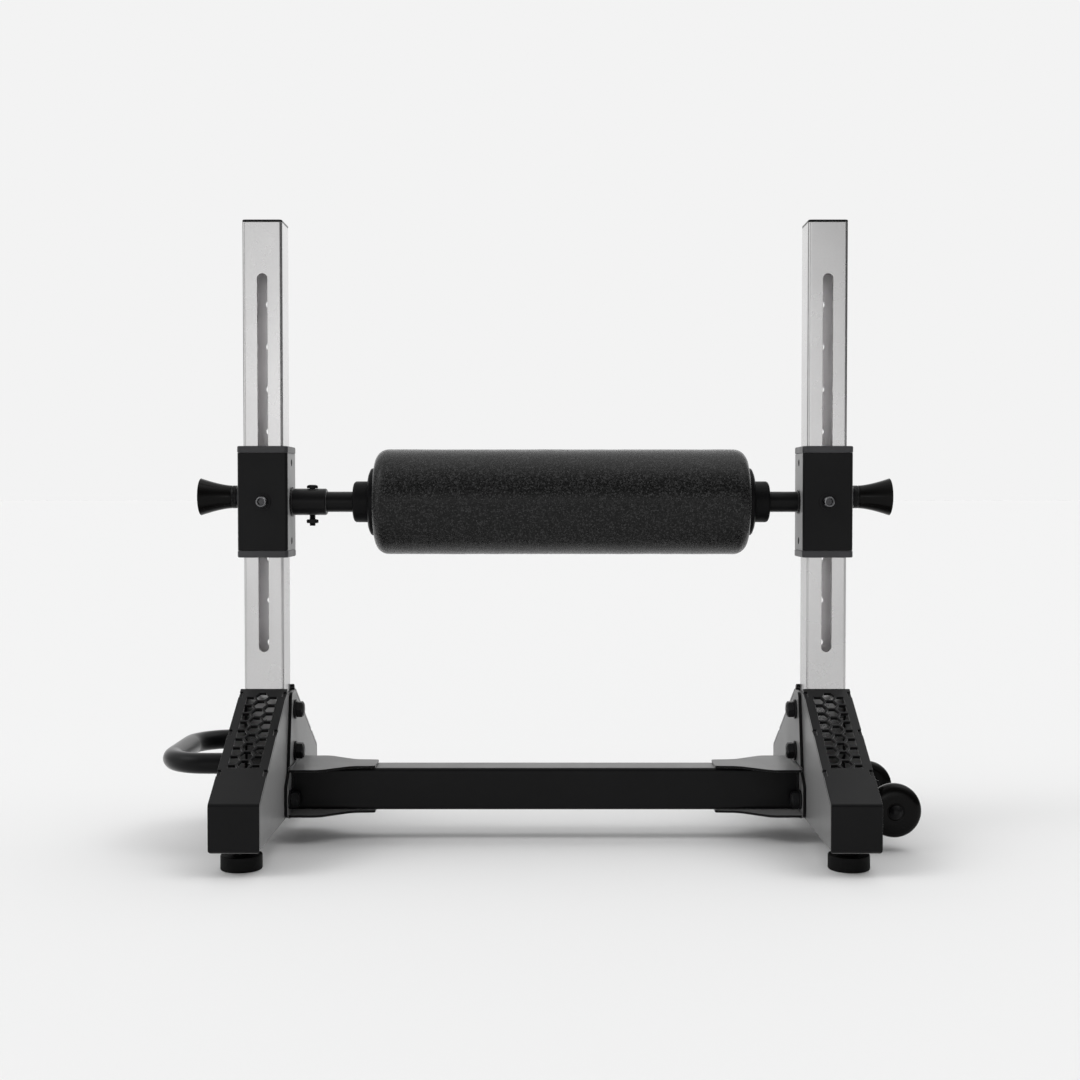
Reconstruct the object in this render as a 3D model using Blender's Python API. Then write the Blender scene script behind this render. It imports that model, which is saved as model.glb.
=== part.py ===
"""Bulgarian split squat stand: two slotted uprights on folded steel feet, with a
foam roller on a carriage that slides up and down and locks in pin holes.

Units are metres, +Z is up, +X runs from the handle's side to the wheels' side and
the stand faces -Y. Each object is one physical piece.
"""

import math

import bmesh
import bpy
from mathutils import Vector

# Clearance left between two pieces that touch
GAP = 0.0003

# How far a cutter runs past the wall it cuts
OVERCUT = 0.002

# Edges sharper than this stay hard on smoothly shaded pieces
SMOOTH_ANGLE = math.radians(35)

# Uprights: slotted square tubes
UPRIGHT_X = 0.354
UPRIGHT_SIZE = 0.050
UPRIGHT_WALL = 0.003
UPRIGHT_CORNER = 0.004
UPRIGHT_BOTTOM_Z = 0.0316
STAND_HEIGHT = 0.780
CAP_THICKNESS = 0.0028
CAP_DEPTH = 0.018
CAP_WALL = 0.0025
CAP_BEVEL = 0.001
SLOT_WIDTH = 0.0126
SLOT_BOTTOM_Z = 0.2383
SLOT_TOP_Z = 0.7129
SLOT_END_RADIUS = 0.0062

# Height adjustment: a row of pin holes, and the larger row behind the slot
HOLE_PITCH = 0.0542
HOLES_BELOW = 3
HOLES_ABOVE = 5
HOLE_RADIUS = 0.0056
REAR_HOLE_DROP = 0.0245

# Feet: side plates under folded covers
SHEET = 0.004
FOOT_WIDTH = 0.059
FOOT_REACH = 0.216
FOOT_TOP_Z = 0.1918
FOLD_Z = 0.0834
FOOT_BOTTOM_Z = 0.027
FOLD_RADIUS = 0.0055
FACE_CORNER = 0.004
FLANGE_END_Y = 0.142
PLATE_TOP_Z = 0.184
TAB_PLACES = (0.012, 0.0875, 0.163)
TAB_LENGTH = 0.009
TAB_HEIGHT = 0.0025
NOTCH_LENGTH = 0.0108
NOTCH_DEPTH = 0.0046

# Honeycomb window in each cover
HEX_PITCH = 0.01645
HEX_FLATS = 0.0138
HEX_FIRST = 0.0157
HEX_ROWS = 9
WINDOW_HALF_WIDTH = 0.019

# Rubber feet
RUBBER_Y = 0.171
RUBBER_RADIUS = 0.0243
RUBBER_HEIGHT = 0.0175
RUBBER_BEVEL = 0.002
NECK_RADIUS = 0.011
STUD_RADIUS = 0.004
STUD_LENGTH = 0.014

# Cross member: tube, gussets and end plates
CROSS_HEIGHT = 0.053
CROSS_DEPTH = 0.046
CROSS_BOTTOM_Z = 0.0377
CROSS_WALL = 0.003
CROSS_CORNER = 0.005
GUSSET = 0.003
GUSSET_LENGTH = 0.105
GUSSET_HALF_WIDTH = 0.054
GUSSET_SHOULDER = 0.038
GUSSET_SHOULDER_RADIUS = 0.022
GUSSET_WAIST = 0.0756
GUSSET_WAIST_HALF_WIDTH = 0.0255
GUSSET_WAIST_RADIUS = 0.025
GUSSET_TIP_HALF_WIDTH = 0.0235
GUSSET_CORNER = 0.0035
END_PLATE = 0.004
END_PLATE_HALF_WIDTH = 0.056
END_PLATE_NECK_HALF_WIDTH = 0.038
END_PLATE_TOP_HALF_WIDTH = 0.016
END_PLATE_BELOW = 0.0045
END_PLATE_SHOULDER_DROP = 0.018
END_PLATE_NECK_DROP = 0.0025
END_PLATE_TOP_Z = 0.186
END_PLATE_CORNER = 0.008

# M12 frame bolts: two through the upright and two low ones at each side
BOLT_RADIUS = 0.006
BOLT_HOLE_RADIUS = 0.0064
BOLT_FLATS = 0.019
BOLT_HEAD = 0.010
BOLT_NUT = 0.0075
WASHER_RADIUS = 0.012
WASHER = 0.0025
BOLT_HIGH_Z = 0.1626
BOLT_MIDDLE_Z = 0.1095
BOLT_LOW_Z = 0.0545
BOLT_LOW_Y = 0.040

# Carrying handle: a bent tube on the left foot
HANDLE_RADIUS = 0.0127
HANDLE_WALL = 0.002
HANDLE_Z = 0.1095
HANDLE_LIMB_Y = 0.093
HANDLE_REACH_X = 0.4757
HANDLE_BEND = 0.050

# Transport wheels on the right foot
WHEEL_X = 0.4275
WHEEL_Y = 0.079
WHEEL_Z = 0.0493
WHEEL_RADIUS = 0.0334
WHEEL_HALF_WIDTH = 0.012

# Wheel section from its inner face out: shares of the half width and of the radius
WHEEL_SECTION = ((-1.0, 0.78), (-0.7, 0.93), (0.0, 1.0), (0.6, 0.95), (0.85, 0.8), (1.0, 0.4))

# Wheel axle and bracket
AXLE_RADIUS = 0.006
AXLE_HEAD_RADIUS = 0.0085
AXLE_HEAD = 0.004
SPACER_RADIUS = 0.010
WHEEL_PLAY = 0.0005
BRACKET_EAR_Y = 0.062
BRACKET_PLATE = 0.004
BRACKET_BOTTOM_Z = 0.033
BRACKET_TOP_Z = 0.074
BRACKET_NOSE = 0.013
BRACKET_NOSE_RISE = 0.009
BRACKET_SHOULDER = 0.008

# Carriage: sleeves with plastic liners
SLEEVE_SIZE = 0.063
SLEEVE_WALL = 0.003
SLEEVE_CORNER = 0.004
SLEEVE_TUBE = 0.1226
LINER_FLANGE = 0.0086
LINER_FLANGE_SIZE = 0.0638
LINER_DEPTH = 0.022
LINER_BEVEL = 0.0008
LINER_BUTTON_DROP = 0.0118
LINER_BUTTON_RADIUS = 0.004
GUIDE_RADIUS = 0.005
GUIDE_HEAD_RADIUS = 0.008
GUIDE_HEAD = 0.0095
GUIDE_BEVEL = 0.0008
GUIDE_TIP_DEPTH = 0.009
GUIDE_WASHER_RADIUS = 0.0105
GUIDE_WASHER = 0.0015
GUIDE_KEY = 0.008
GUIDE_KEY_DEPTH = 0.005

# Roller and shaft
ROLLER_Z = 0.4272
ROLLER_CENTRE_X = 0.0203
FOAM_LENGTH = 0.4705
FOAM_RADIUS = 0.0666
FOAM_EDGE = 0.020
CORE_RADIUS = 0.030
CORE_WALL = 0.002
HUB_FLANGE_RADIUS = 0.0425
HUB_FLANGE = 0.0055
HUB_RADIUS = 0.026
HUB_LENGTH = 0.022
HUB_SPIGOT = 0.020
HUB_CHAMFER = 0.003
HUB_FLANGE_CHAMFER = 0.006
BUSH_WALL = 0.003
BUSH_LENGTH = 0.030
SHAFT_RADIUS = 0.013
SHAFT_WALL = 0.003
SHAFT_INSET = 0.003
SOCKET_RADIUS = 0.0169
SOCKET_LENGTH = 0.045
SOCKET_CHAMFER = 0.0018
SOCKET_BOLT_INSET = 0.0265
SOCKET_BOLT_RADIUS = 0.004
SOCKET_BOLT_TIP = 0.0305
SOCKET_HEAD_RADIUS = 0.007
SOCKET_HEAD = 0.0044
SOCKET_NUT_FLATS = 0.013
SOCKET_NUT = 0.0068

# Lock pins: a fixed barrel and a spring pin with a flared knob
PIN_Z = 0.4335
PIN_RADIUS = 0.005
PIN_TRAVEL = 0.0055
PIN_TIP_CLEARANCE = 0.0004
BARREL_RADIUS = 0.011
BARREL_BORE = 0.009
BARREL_LENGTH = 0.020
BARREL_END_WALL = 0.003
COLLAR_RADIUS = 0.0086
COLLAR_START = 0.0032
COLLAR_THICKNESS = 0.002
SPRING_WIRE = 0.0008
SPRING_RADIUS = 0.0072
SPRING_TURNS = 3
KNOB_BASE = 0.006
KNOB_BAND = 0.0125
KNOB_NECK_RADIUS = 0.014
KNOB_RIM_RADIUS = 0.0237
KNOB_RIM = 0.0515
KNOB_LENGTH = 0.0564
KNOB_DOME = 0.0549
KNOB_DOME_RADIUS = 0.013
KNOB_BORE = 0.0114
KNOB_BORE_END = 0.026
KNOB_FLARE_POWER = 1.5

# Worked out from the sizes above
CENTRE_SHIFT = (HANDLE_REACH_X - WHEEL_X - WHEEL_RADIUS) / 2
UPRIGHT_HALF = UPRIGHT_SIZE / 2
UPRIGHT_TOP_Z = STAND_HEIGHT - CAP_THICKNESS - GAP
COVER_START_Y = UPRIGHT_HALF + GAP
SLOPE = math.atan2(FOOT_TOP_Z - FOLD_Z, FOOT_REACH - COVER_START_Y)
FOOT_HALF = FOOT_WIDTH / 2
FOOT_INNER_X = UPRIGHT_X - FOOT_HALF
FOOT_OUTER_X = UPRIGHT_X + FOOT_HALF
END_PLATE_X = FOOT_INNER_X - GAP - END_PLATE
CROSS_HALF_LENGTH = END_PLATE_X - GAP
CROSS_TOP_Z = CROSS_BOTTOM_Z + CROSS_HEIGHT
CROSS_CENTRE_Z = CROSS_BOTTOM_Z + CROSS_HEIGHT / 2
SLEEVE_HALF = SLEEVE_SIZE / 2
SLEEVE_INNER_X = UPRIGHT_X - SLEEVE_HALF
SLEEVE_OUTER_X = UPRIGHT_X + SLEEVE_HALF
SOCKET_BOLT_X = SLEEVE_INNER_X - SOCKET_BOLT_INSET

# Sides of round pieces; those that sit in each other share their number
NESTED_SIDES = 20
HOLE_SIDES = 8
SMALL_SIDES = 12
RUBBER_SIDES = 14
KNOB_SIDES = 18
WHEEL_SIDES = 24
FOAM_SIDES = 32
BEND_STEPS = 5
FLARE_STEPS = 5
EDGE_STEPS = 3
SPRING_TURN_STEPS = 8

LEFT, RIGHT = -1, 1
FRONT, REAR = -1, 1
SIDES = (("left", LEFT), ("right", RIGHT))
ENDS = (("front", FRONT), ("rear", REAR))

# Finishes: base colour, metallic, roughness
FINISHES = {
    "silver_coat": ((0.62, 0.63, 0.65), 0.6, 0.42),
    "black_coat": ((0.022, 0.022, 0.024), 0.2, 0.45),
    "grey_steel": ((0.35, 0.35, 0.36), 0.8, 0.35),
    "black_plastic": ((0.03, 0.03, 0.032), 0.0, 0.4),
    "gloss_plastic": ((0.012, 0.012, 0.013), 0.0, 0.15),
    "rubber": ((0.02, 0.02, 0.02), 0.0, 0.75),
    "foam": ((0.035, 0.035, 0.037), 0.0, 0.85),
    "spring_steel": ((0.5, 0.5, 0.52), 1.0, 0.3),
}


def clear_scene():
    """Empty the file of objects."""
    for obj in list(bpy.data.objects):
        bpy.data.objects.remove(obj, do_unlink=True)


def empty(name, location, parent=None):
    """Add an empty that carries other pieces."""
    obj = bpy.data.objects.new(name, None)
    bpy.context.collection.objects.link(obj)
    obj.empty_display_size = 0.05
    obj.location = location
    obj.parent = parent
    return obj


def paint(obj, finish):
    """Give a piece its own material."""
    colour, metallic, roughness = FINISHES[finish]
    material = bpy.data.materials.new(obj.name + "_finish")
    material.use_nodes = True
    shader = material.node_tree.nodes["Principled BSDF"]
    shader.inputs["Base Color"].default_value = (*colour, 1.0)
    shader.inputs["Metallic"].default_value = metallic
    shader.inputs["Roughness"].default_value = roughness
    obj.data.materials.append(material)


def piece(name, bm, parent, finish=None, smooth=False):
    """Turn a mesh under construction into a named object; no finish means a cutter."""
    bmesh.ops.recalc_face_normals(bm, faces=bm.faces)
    mesh = bpy.data.meshes.new(name)
    bm.to_mesh(mesh)
    bm.free()
    obj = bpy.data.objects.new(name, mesh)
    bpy.context.collection.objects.link(obj)
    obj.parent = parent
    if smooth:
        mesh.shade_smooth()
        mesh.set_sharp_from_angle(angle=SMOOTH_ANGLE)
    if finish:
        paint(obj, finish)
    else:
        obj.hide_render = True
        obj.display_type = "WIRE"
    return obj


def cut(target, cutter):
    """Take the shapes gathered in a cutter mesh out of the target."""
    modifier = target.modifiers.new("cut", "BOOLEAN")
    modifier.operation = "DIFFERENCE"
    modifier.solver = "EXACT"
    modifier.object = piece(target.name + "_cutter", cutter, target.parent)


def across(axis, u, v, along):
    """Point with u and v across the named axis, in X, Y, Z order."""
    if axis == "X":
        return Vector((along, u, v))
    if axis == "Y":
        return Vector((u, along, v))
    return Vector((u, v, along))


def through(side, face, depth):
    """Span, low end first, of a cutter through a wall whose outer face is at face."""
    return sorted((side * (face - depth - OVERCUT), side * (face + OVERCUT)))


def loft(bm, loops, ring=False):
    """Skin a row of equal loops of points; a ring joins its last loop to its first."""
    rows = [[bm.verts.new(point) for point in loop] for loop in loops]
    pairs = list(zip(rows, rows[1:]))
    if ring:
        pairs.append((rows[-1], rows[0]))
    else:
        bm.faces.new(rows[0])
        bm.faces.new(rows[-1])
    for low, high in pairs:
        for i in range(len(low)):
            j = (i + 1) % len(low)
            bm.faces.new((low[i], low[j], high[j], high[i]))


def prism(bm, outline, axis, low, high):
    """Extrude a flat outline along an axis."""
    face = bm.faces.new([bm.verts.new(across(axis, u, v, low)) for u, v in outline])
    made = bmesh.ops.extrude_face_region(bm, geom=[face])["geom"]
    moved = [item for item in made if isinstance(item, bmesh.types.BMVert)]
    bmesh.ops.translate(bm, vec=across(axis, 0, 0, high - low), verts=moved)


def circle(radius, sides, turn=0.0):
    """Points round a circle."""
    angles = [turn + 2 * math.pi * i / sides for i in range(sides)]
    return [(radius * math.cos(a), radius * math.sin(a)) for a in angles]


def hexagon(flats):
    """A hexagon with flats up and down, as twelve points: corners and mid-flats."""
    radii = [flats / math.sqrt(3), flats / 2]
    angles = [math.pi * i / 6 for i in range(12)]
    return [(radii[i % 2] * math.cos(a), radii[i % 2] * math.sin(a)) for i, a in enumerate(angles)]


def rounded(corners, steps=3):
    """Closed outline through (x, y, radius) corners, each rounded by an arc."""
    outline = []
    for i, (x, y, radius) in enumerate(corners):
        corner = Vector((x, y))
        if radius == 0:
            outline.append((x, y))
            continue
        back = (Vector(corners[i - 1][:2]) - corner).normalized()
        ahead = (Vector(corners[(i + 1) % len(corners)][:2]) - corner).normalized()
        half = back.angle(ahead) / 2
        centre = corner + (back + ahead).normalized() * radius / math.sin(half)
        start = corner + back * radius / math.tan(half) - centre
        end = corner + ahead * radius / math.tan(half) - centre
        first = math.atan2(start.y, start.x)
        sweep = (math.atan2(end.y, end.x) - first + math.pi) % (2 * math.pi) - math.pi
        for k in range(steps + 1):
            angle = first + sweep * k / steps
            outline.append((centre.x + radius * math.cos(angle), centre.y + radius * math.sin(angle)))
    return outline


def square_loop(size_u, size_v, corner, steps=2):
    """A rounded rectangle about the origin."""
    u, v = size_u / 2, size_v / 2
    return rounded([(u, v, corner), (-u, v, corner), (-u, -v, corner), (u, -v, corner)], steps)


def placed(loop, axis, along, centre=(0.0, 0.0)):
    """A flat loop set in space."""
    return [across(axis, u + centre[0], v + centre[1], along) for u, v in loop]


def turned(bm, profile, axis, centre, sides, ring=False):
    """Spin a profile of (along, radius) points about an axis through centre (u, v)."""
    verts = [bm.verts.new(across(axis, centre[0] + r, centre[1], s)) for s, r in profile]
    edges = [bm.edges.new(pair) for pair in zip(verts, verts[1:])]
    if ring:
        edges.append(bm.edges.new((verts[-1], verts[0])))
    bmesh.ops.spin(
        bm,
        geom=verts + edges,
        cent=across(axis, *centre, 0.0),
        axis=across(axis, 0, 0, 1),
        angle=2 * math.pi,
        steps=sides,
        use_merge=True,
    )
    bmesh.ops.remove_doubles(bm, verts=bm.verts, dist=1e-6)


def drill(cutter, places, radius, axis, low, high, sides=HOLE_SIDES):
    """Add holes along an axis, at (u, v) places, to a cutter; radius is to their flats."""
    outline = circle(radius / math.cos(math.pi / sides), sides, math.pi / sides)
    for place in places:
        loft(cutter, [placed(outline, axis, along, place) for along in (low, high)])


def clipped(outline, inside, crossing):
    """Keep the part of an outline on one side of a line."""
    kept = []
    for i, point in enumerate(outline):
        before = outline[i - 1]
        if inside(before) != inside(point):
            kept.append(crossing(before, point))
        if inside(point):
            kept.append(point)
    return kept


def slope_point(down, depth):
    """Point on a foot's side view, down the slope and below the cover's outer face."""
    y = COVER_START_Y + down * math.cos(SLOPE) - depth * math.sin(SLOPE)
    z = FOOT_TOP_Z - down * math.sin(SLOPE) - depth * math.cos(SLOPE)
    return y, z


def cover_path(depth):
    """Side view of the folded sheet, at a depth below its outer face."""
    top = (COVER_START_Y, FOOT_TOP_Z - depth / math.cos(SLOPE), 0)
    fold_z = FOLD_Z - depth * math.tan((math.pi / 2 - SLOPE) / 2)
    radius = FOLD_RADIUS - depth
    return [
        top,
        (FOOT_REACH - depth, fold_z, radius),
        (FOOT_REACH - depth, FOOT_BOTTOM_Z + depth, radius),
        (FLANGE_END_Y, FOOT_BOTTOM_Z + depth, 0),
    ]


def honeycomb_cells():
    """Outlines of the window's cells, as (across the cover, down the slope)."""
    radius = HEX_FLATS / math.sqrt(3)
    column = HEX_PITCH * math.sqrt(3) / 2
    window_end = HEX_FIRST + (HEX_ROWS - 1) * HEX_PITCH + HEX_FLATS / 2
    cells = []
    for row in range(HEX_ROWS):
        for side in (-1, 0, 1):
            down = HEX_FIRST + (row + 0.5 * abs(side)) * HEX_PITCH
            cell = [(side * column + x, down + s) for x, s in circle(radius, 6)]
            for edge in (-1, 1):
                cell = clipped(
                    cell,
                    lambda p, e=edge: e * p[0] <= WINDOW_HALF_WIDTH,
                    lambda a, b, e=edge: between(a, b, 0, e * WINDOW_HALF_WIDTH),
                )
            cell = clipped(
                cell,
                lambda p: p[1] <= window_end + 1e-6,
                lambda a, b: between(a, b, 1, window_end),
            )
            cells.append(cell)
    return cells


def between(a, b, index, value):
    """Point on a line where one of its two values is reached."""
    share = (value - a[index]) / (b[index] - a[index])
    return tuple(a[k] + share * (b[k] - a[k]) for k in range(2))


def build_upright(name, side, stand):
    """Square tube with the guide slot, the pin holes and the holes behind the slot."""
    bm = bmesh.new()
    inner = UPRIGHT_SIZE - 2 * UPRIGHT_WALL
    outer_loop = square_loop(UPRIGHT_SIZE, UPRIGHT_SIZE, UPRIGHT_CORNER)
    inner_loop = square_loop(inner, inner, UPRIGHT_CORNER - UPRIGHT_WALL)
    centre = (side * UPRIGHT_X, 0.0)
    ends = (UPRIGHT_BOTTOM_Z, UPRIGHT_TOP_Z)
    loops = [placed(outer_loop, "Z", z, centre) for z in ends]
    loops += [placed(inner_loop, "Z", z, centre) for z in reversed(ends)]
    loft(bm, loops, ring=True)
    tube = piece(name + "_upright", bm, stand, "silver_coat")

    cutter = bmesh.new()
    half = SLOT_WIDTH / 2
    x = side * UPRIGHT_X
    outline = rounded(
        [
            (x - half, SLOT_BOTTOM_Z, SLOT_END_RADIUS),
            (x + half, SLOT_BOTTOM_Z, SLOT_END_RADIUS),
            (x + half, SLOT_TOP_Z, SLOT_END_RADIUS),
            (x - half, SLOT_TOP_Z, SLOT_END_RADIUS),
        ]
    )
    prism(cutter, outline, "Y", *through(FRONT, UPRIGHT_HALF, UPRIGHT_WALL))

    steps = range(-HOLES_BELOW, HOLES_ABOVE + 1)
    pin_heights = [PIN_Z + k * HOLE_PITCH for k in steps]
    outer_wall = through(side, UPRIGHT_X + UPRIGHT_HALF, UPRIGHT_WALL)
    drill(cutter, [(0.0, z) for z in pin_heights], HOLE_RADIUS, "X", *outer_wall)
    rear_wall = through(REAR, UPRIGHT_HALF, UPRIGHT_WALL)
    rear_places = [(x, z - REAR_HOLE_DROP) for z in pin_heights]
    drill(cutter, rear_places, HOLE_RADIUS, "Y", *rear_wall)
    both_walls = through(side, UPRIGHT_X + UPRIGHT_HALF, UPRIGHT_SIZE)
    bolt_places = [(0.0, BOLT_HIGH_Z), (0.0, BOLT_MIDDLE_Z)]
    drill(cutter, bolt_places, BOLT_HOLE_RADIUS, "X", *both_walls)
    cut(tube, cutter)


def build_cap(name, side, stand):
    """Plastic end cap: a plate with a hollow spigot in the tube."""
    bm = bmesh.new()
    spigot = UPRIGHT_SIZE - 2 * UPRIGHT_WALL - 2 * GAP
    hollow = spigot - 2 * CAP_WALL
    seat = UPRIGHT_TOP_Z + GAP
    spigot_corner = UPRIGHT_CORNER - UPRIGHT_WALL
    levels = [
        (UPRIGHT_SIZE - 2 * CAP_BEVEL, UPRIGHT_CORNER, STAND_HEIGHT),
        (UPRIGHT_SIZE, UPRIGHT_CORNER, STAND_HEIGHT - CAP_BEVEL),
        (UPRIGHT_SIZE, UPRIGHT_CORNER, seat),
        (spigot, spigot_corner, seat),
        (spigot, spigot_corner, seat - CAP_DEPTH),
        (hollow, spigot_corner, seat - CAP_DEPTH),
        (hollow, spigot_corner, seat),
    ]
    centre = (side * UPRIGHT_X, 0.0)
    loft(bm, [placed(square_loop(s, s, c), "Z", z, centre) for s, c, z in levels])
    piece(name + "_upright_cap", bm, stand, "black_plastic")


def build_side_plate(name, side, outer, stand):
    """One side plate of a foot, with the tabs that sit in the cover's notches."""
    depth = SHEET + GAP
    half = [(COVER_START_Y, PLATE_TOP_Z), cover_path(depth)[0][:2]]
    for place in TAB_PLACES:
        start, end = place - TAB_LENGTH / 2, place + TAB_LENGTH / 2
        half += [slope_point(start, depth), slope_point(start, depth - TAB_HEIGHT)]
        half += [slope_point(end, depth - TAB_HEIGHT), slope_point(end, depth)]
    half = [(y, z, 0) for y, z in half] + cover_path(depth)[1:3]
    outline = rounded(half + [(-y, z, r) for y, z, r in reversed(half)], 2)
    far = FOOT_OUTER_X if outer else FOOT_INNER_X + SHEET
    bm = bmesh.new()
    prism(bm, outline, "X", *sorted((side * (far - SHEET), side * far)))
    which = "outer" if outer else "inner"
    plate = piece(f"{name}_foot_{which}_plate", bm, stand, "black_coat")
    places = [(0.0, BOLT_HIGH_Z), (0.0, BOLT_MIDDLE_Z)]
    if not outer:
        places += [(-BOLT_LOW_Y, BOLT_LOW_Z), (BOLT_LOW_Y, BOLT_LOW_Z)]
    cutter = bmesh.new()
    drill(cutter, places, BOLT_HOLE_RADIUS, "X", *through(side, far, SHEET))
    cut(plate, cutter)


def build_cover(name, side, end_name, facing, stand):
    """Folded cover: slope with a honeycomb window, front face and bottom flange."""
    outline = rounded(cover_path(0.0) + list(reversed(cover_path(SHEET))))
    bm = bmesh.new()
    centre = side * UPRIGHT_X
    section = [(facing * y, z) for y, z in outline]
    prism(bm, section, "X", centre - FOOT_HALF, centre + FOOT_HALF)
    cover = piece(f"{name}_{end_name}_cover", bm, stand, "black_coat")

    cutter = bmesh.new()

    def through_slope(shape):
        loops = []
        for depth in (-OVERCUT, SHEET + OVERCUT):
            flat = [(x, *slope_point(down, depth)) for x, down in shape]
            loops.append([Vector((centre + x, facing * y, z)) for x, y, z in flat])
        loft(cutter, loops)

    for cell in honeycomb_cells():
        through_slope(cell)
    for place in TAB_PLACES:
        start, end = place - NOTCH_LENGTH / 2, place + NOTCH_LENGTH / 2
        for edge in (-1, 1):
            near, far = edge * (FOOT_HALF - NOTCH_DEPTH), edge * (FOOT_HALF + OVERCUT)
            through_slope([(near, start), (far, start), (far, end), (near, end)])

    for edge in (-1, 1):
        tip = (edge * (FOOT_HALF + OVERCUT), FOOT_BOTTOM_Z - OVERCUT)
        arc = [
            (
                edge * (FOOT_HALF - FACE_CORNER * (1 - math.sin(t))),
                FOOT_BOTTOM_Z + FACE_CORNER * (1 - math.cos(t)),
            )
            for t in [math.pi / 2 * k / 2 for k in range(3)]
        ]
        start = (arc[0][0], tip[1])
        stop = (tip[0], arc[-1][1])
        shape = [(centre + x, z) for x, z in [tip, start] + arc + [stop]]
        prism(cutter, shape, "Y", *through(facing, FOOT_REACH, FOOT_REACH - FLANGE_END_Y))

    flange = through(1, FOOT_BOTTOM_Z + SHEET, SHEET)
    drill(cutter, [(centre, facing * RUBBER_Y)], STUD_RADIUS + GAP, "Z", *flange)
    cut(cover, cutter)


def build_rubber_foot(name, side, end_name, facing, stand):
    """Rubber foot with its threaded stud."""
    seat = FOOT_BOTTOM_Z - GAP
    levels = [
        (0.0, RUBBER_RADIUS - RUBBER_BEVEL),
        (RUBBER_BEVEL, RUBBER_RADIUS),
        (RUBBER_HEIGHT - RUBBER_BEVEL, RUBBER_RADIUS),
        (RUBBER_HEIGHT, RUBBER_RADIUS - RUBBER_BEVEL),
        (RUBBER_HEIGHT, NECK_RADIUS),
        (seat, NECK_RADIUS),
        (seat, STUD_RADIUS),
        (seat + STUD_LENGTH, STUD_RADIUS),
    ]
    bm = bmesh.new()
    centre = (side * UPRIGHT_X, facing * RUBBER_Y)
    loft(bm, [placed(circle(radius, RUBBER_SIDES), "Z", z, centre) for z, radius in levels])
    piece(f"{name}_{end_name}_rubber_foot", bm, stand, "rubber", smooth=True)


def build_cross_member(stand):
    """Cross tube, its gussets and the end plates that bolt to the feet."""
    bm = bmesh.new()
    centre = (0.0, CROSS_CENTRE_Z)
    outer = square_loop(CROSS_DEPTH, CROSS_HEIGHT, CROSS_CORNER)
    inner = square_loop(
        CROSS_DEPTH - 2 * CROSS_WALL, CROSS_HEIGHT - 2 * CROSS_WALL, CROSS_CORNER - CROSS_WALL
    )
    ends = (-CROSS_HALF_LENGTH, CROSS_HALF_LENGTH)
    loops = [placed(outer, "X", x, centre) for x in ends]
    loops += [placed(inner, "X", x, centre) for x in reversed(ends)]
    loft(bm, loops, ring=True)
    piece("cross_tube", bm, stand, "black_coat")

    for name, side in SIDES:
        start = CROSS_HALF_LENGTH
        half = [
            (start, GUSSET_HALF_WIDTH, GUSSET_CORNER),
            (start - GUSSET_SHOULDER, GUSSET_HALF_WIDTH, GUSSET_SHOULDER_RADIUS),
            (start - GUSSET_WAIST, GUSSET_WAIST_HALF_WIDTH, GUSSET_WAIST_RADIUS),
            (start - GUSSET_LENGTH, GUSSET_TIP_HALF_WIDTH, GUSSET_CORNER),
        ]
        corners = half + [(x, -y, r) for x, y, r in reversed(half)]
        outline = [(side * x, y) for x, y in rounded(corners, 2)]
        levels = (
            ("top", CROSS_TOP_Z + GAP),
            ("bottom", CROSS_BOTTOM_Z - GAP - GUSSET),
        )
        for level, z in levels:
            bm = bmesh.new()
            prism(bm, outline, "Z", z, z + GUSSET)
            piece(f"{name}_{level}_gusset", bm, stand, "black_coat")

        half = [
            (END_PLATE_HALF_WIDTH, CROSS_BOTTOM_Z - END_PLATE_BELOW),
            (END_PLATE_HALF_WIDTH, CROSS_TOP_Z - END_PLATE_SHOULDER_DROP),
            (END_PLATE_NECK_HALF_WIDTH, CROSS_TOP_Z - END_PLATE_NECK_DROP),
            (END_PLATE_TOP_HALF_WIDTH, END_PLATE_TOP_Z),
        ]
        outline = half + [(-y, z) for y, z in reversed(half)]
        corners = [(y, z, END_PLATE_CORNER) for y, z in outline]
        span = sorted((side * END_PLATE_X, side * (END_PLATE_X + END_PLATE)))
        bm = bmesh.new()
        prism(bm, rounded(corners, 2), "X", *span)
        plate = piece(f"{name}_end_plate", bm, stand, "black_coat")
        places = [(0.0, BOLT_HIGH_Z), (0.0, BOLT_MIDDLE_Z)]
        places += [(-BOLT_LOW_Y, BOLT_LOW_Z), (BOLT_LOW_Y, BOLT_LOW_Z)]
        cutter = bmesh.new()
        wall = through(side, END_PLATE_X + END_PLATE, END_PLATE)
        drill(cutter, places, BOLT_HOLE_RADIUS, "X", *wall)
        cut(plate, cutter)


def build_frame_bolts(name, side, stand):
    """Four bolts: two through the upright, two low ones through the foot's wall."""
    near = END_PLATE_X - GAP
    places = (
        (0.0, BOLT_HIGH_Z, FOOT_OUTER_X + GAP),
        (0.0, BOLT_MIDDLE_Z, FOOT_OUTER_X + GAP),
        (-BOLT_LOW_Y, BOLT_LOW_Z, FOOT_INNER_X + SHEET + GAP),
        (BOLT_LOW_Y, BOLT_LOW_Z, FOOT_INNER_X + SHEET + GAP),
    )
    shank = circle(BOLT_RADIUS, SMALL_SIDES)
    washer = circle(WASHER_RADIUS, SMALL_SIDES)
    head = hexagon(BOLT_FLATS)
    for number, (y, z, far) in enumerate(places, start=1):
        levels = [
            (head, near - WASHER - BOLT_HEAD),
            (head, near - WASHER),
            (washer, near - WASHER),
            (washer, near),
            (shank, near),
            (shank, far),
            (head, far),
            (head, far + BOLT_NUT),
        ]
        bm = bmesh.new()
        loft(bm, [placed(loop, "X", side * x, (y, z)) for loop, x in levels])
        piece(f"{name}_frame_bolt_{number}", bm, stand, "grey_steel")


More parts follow.
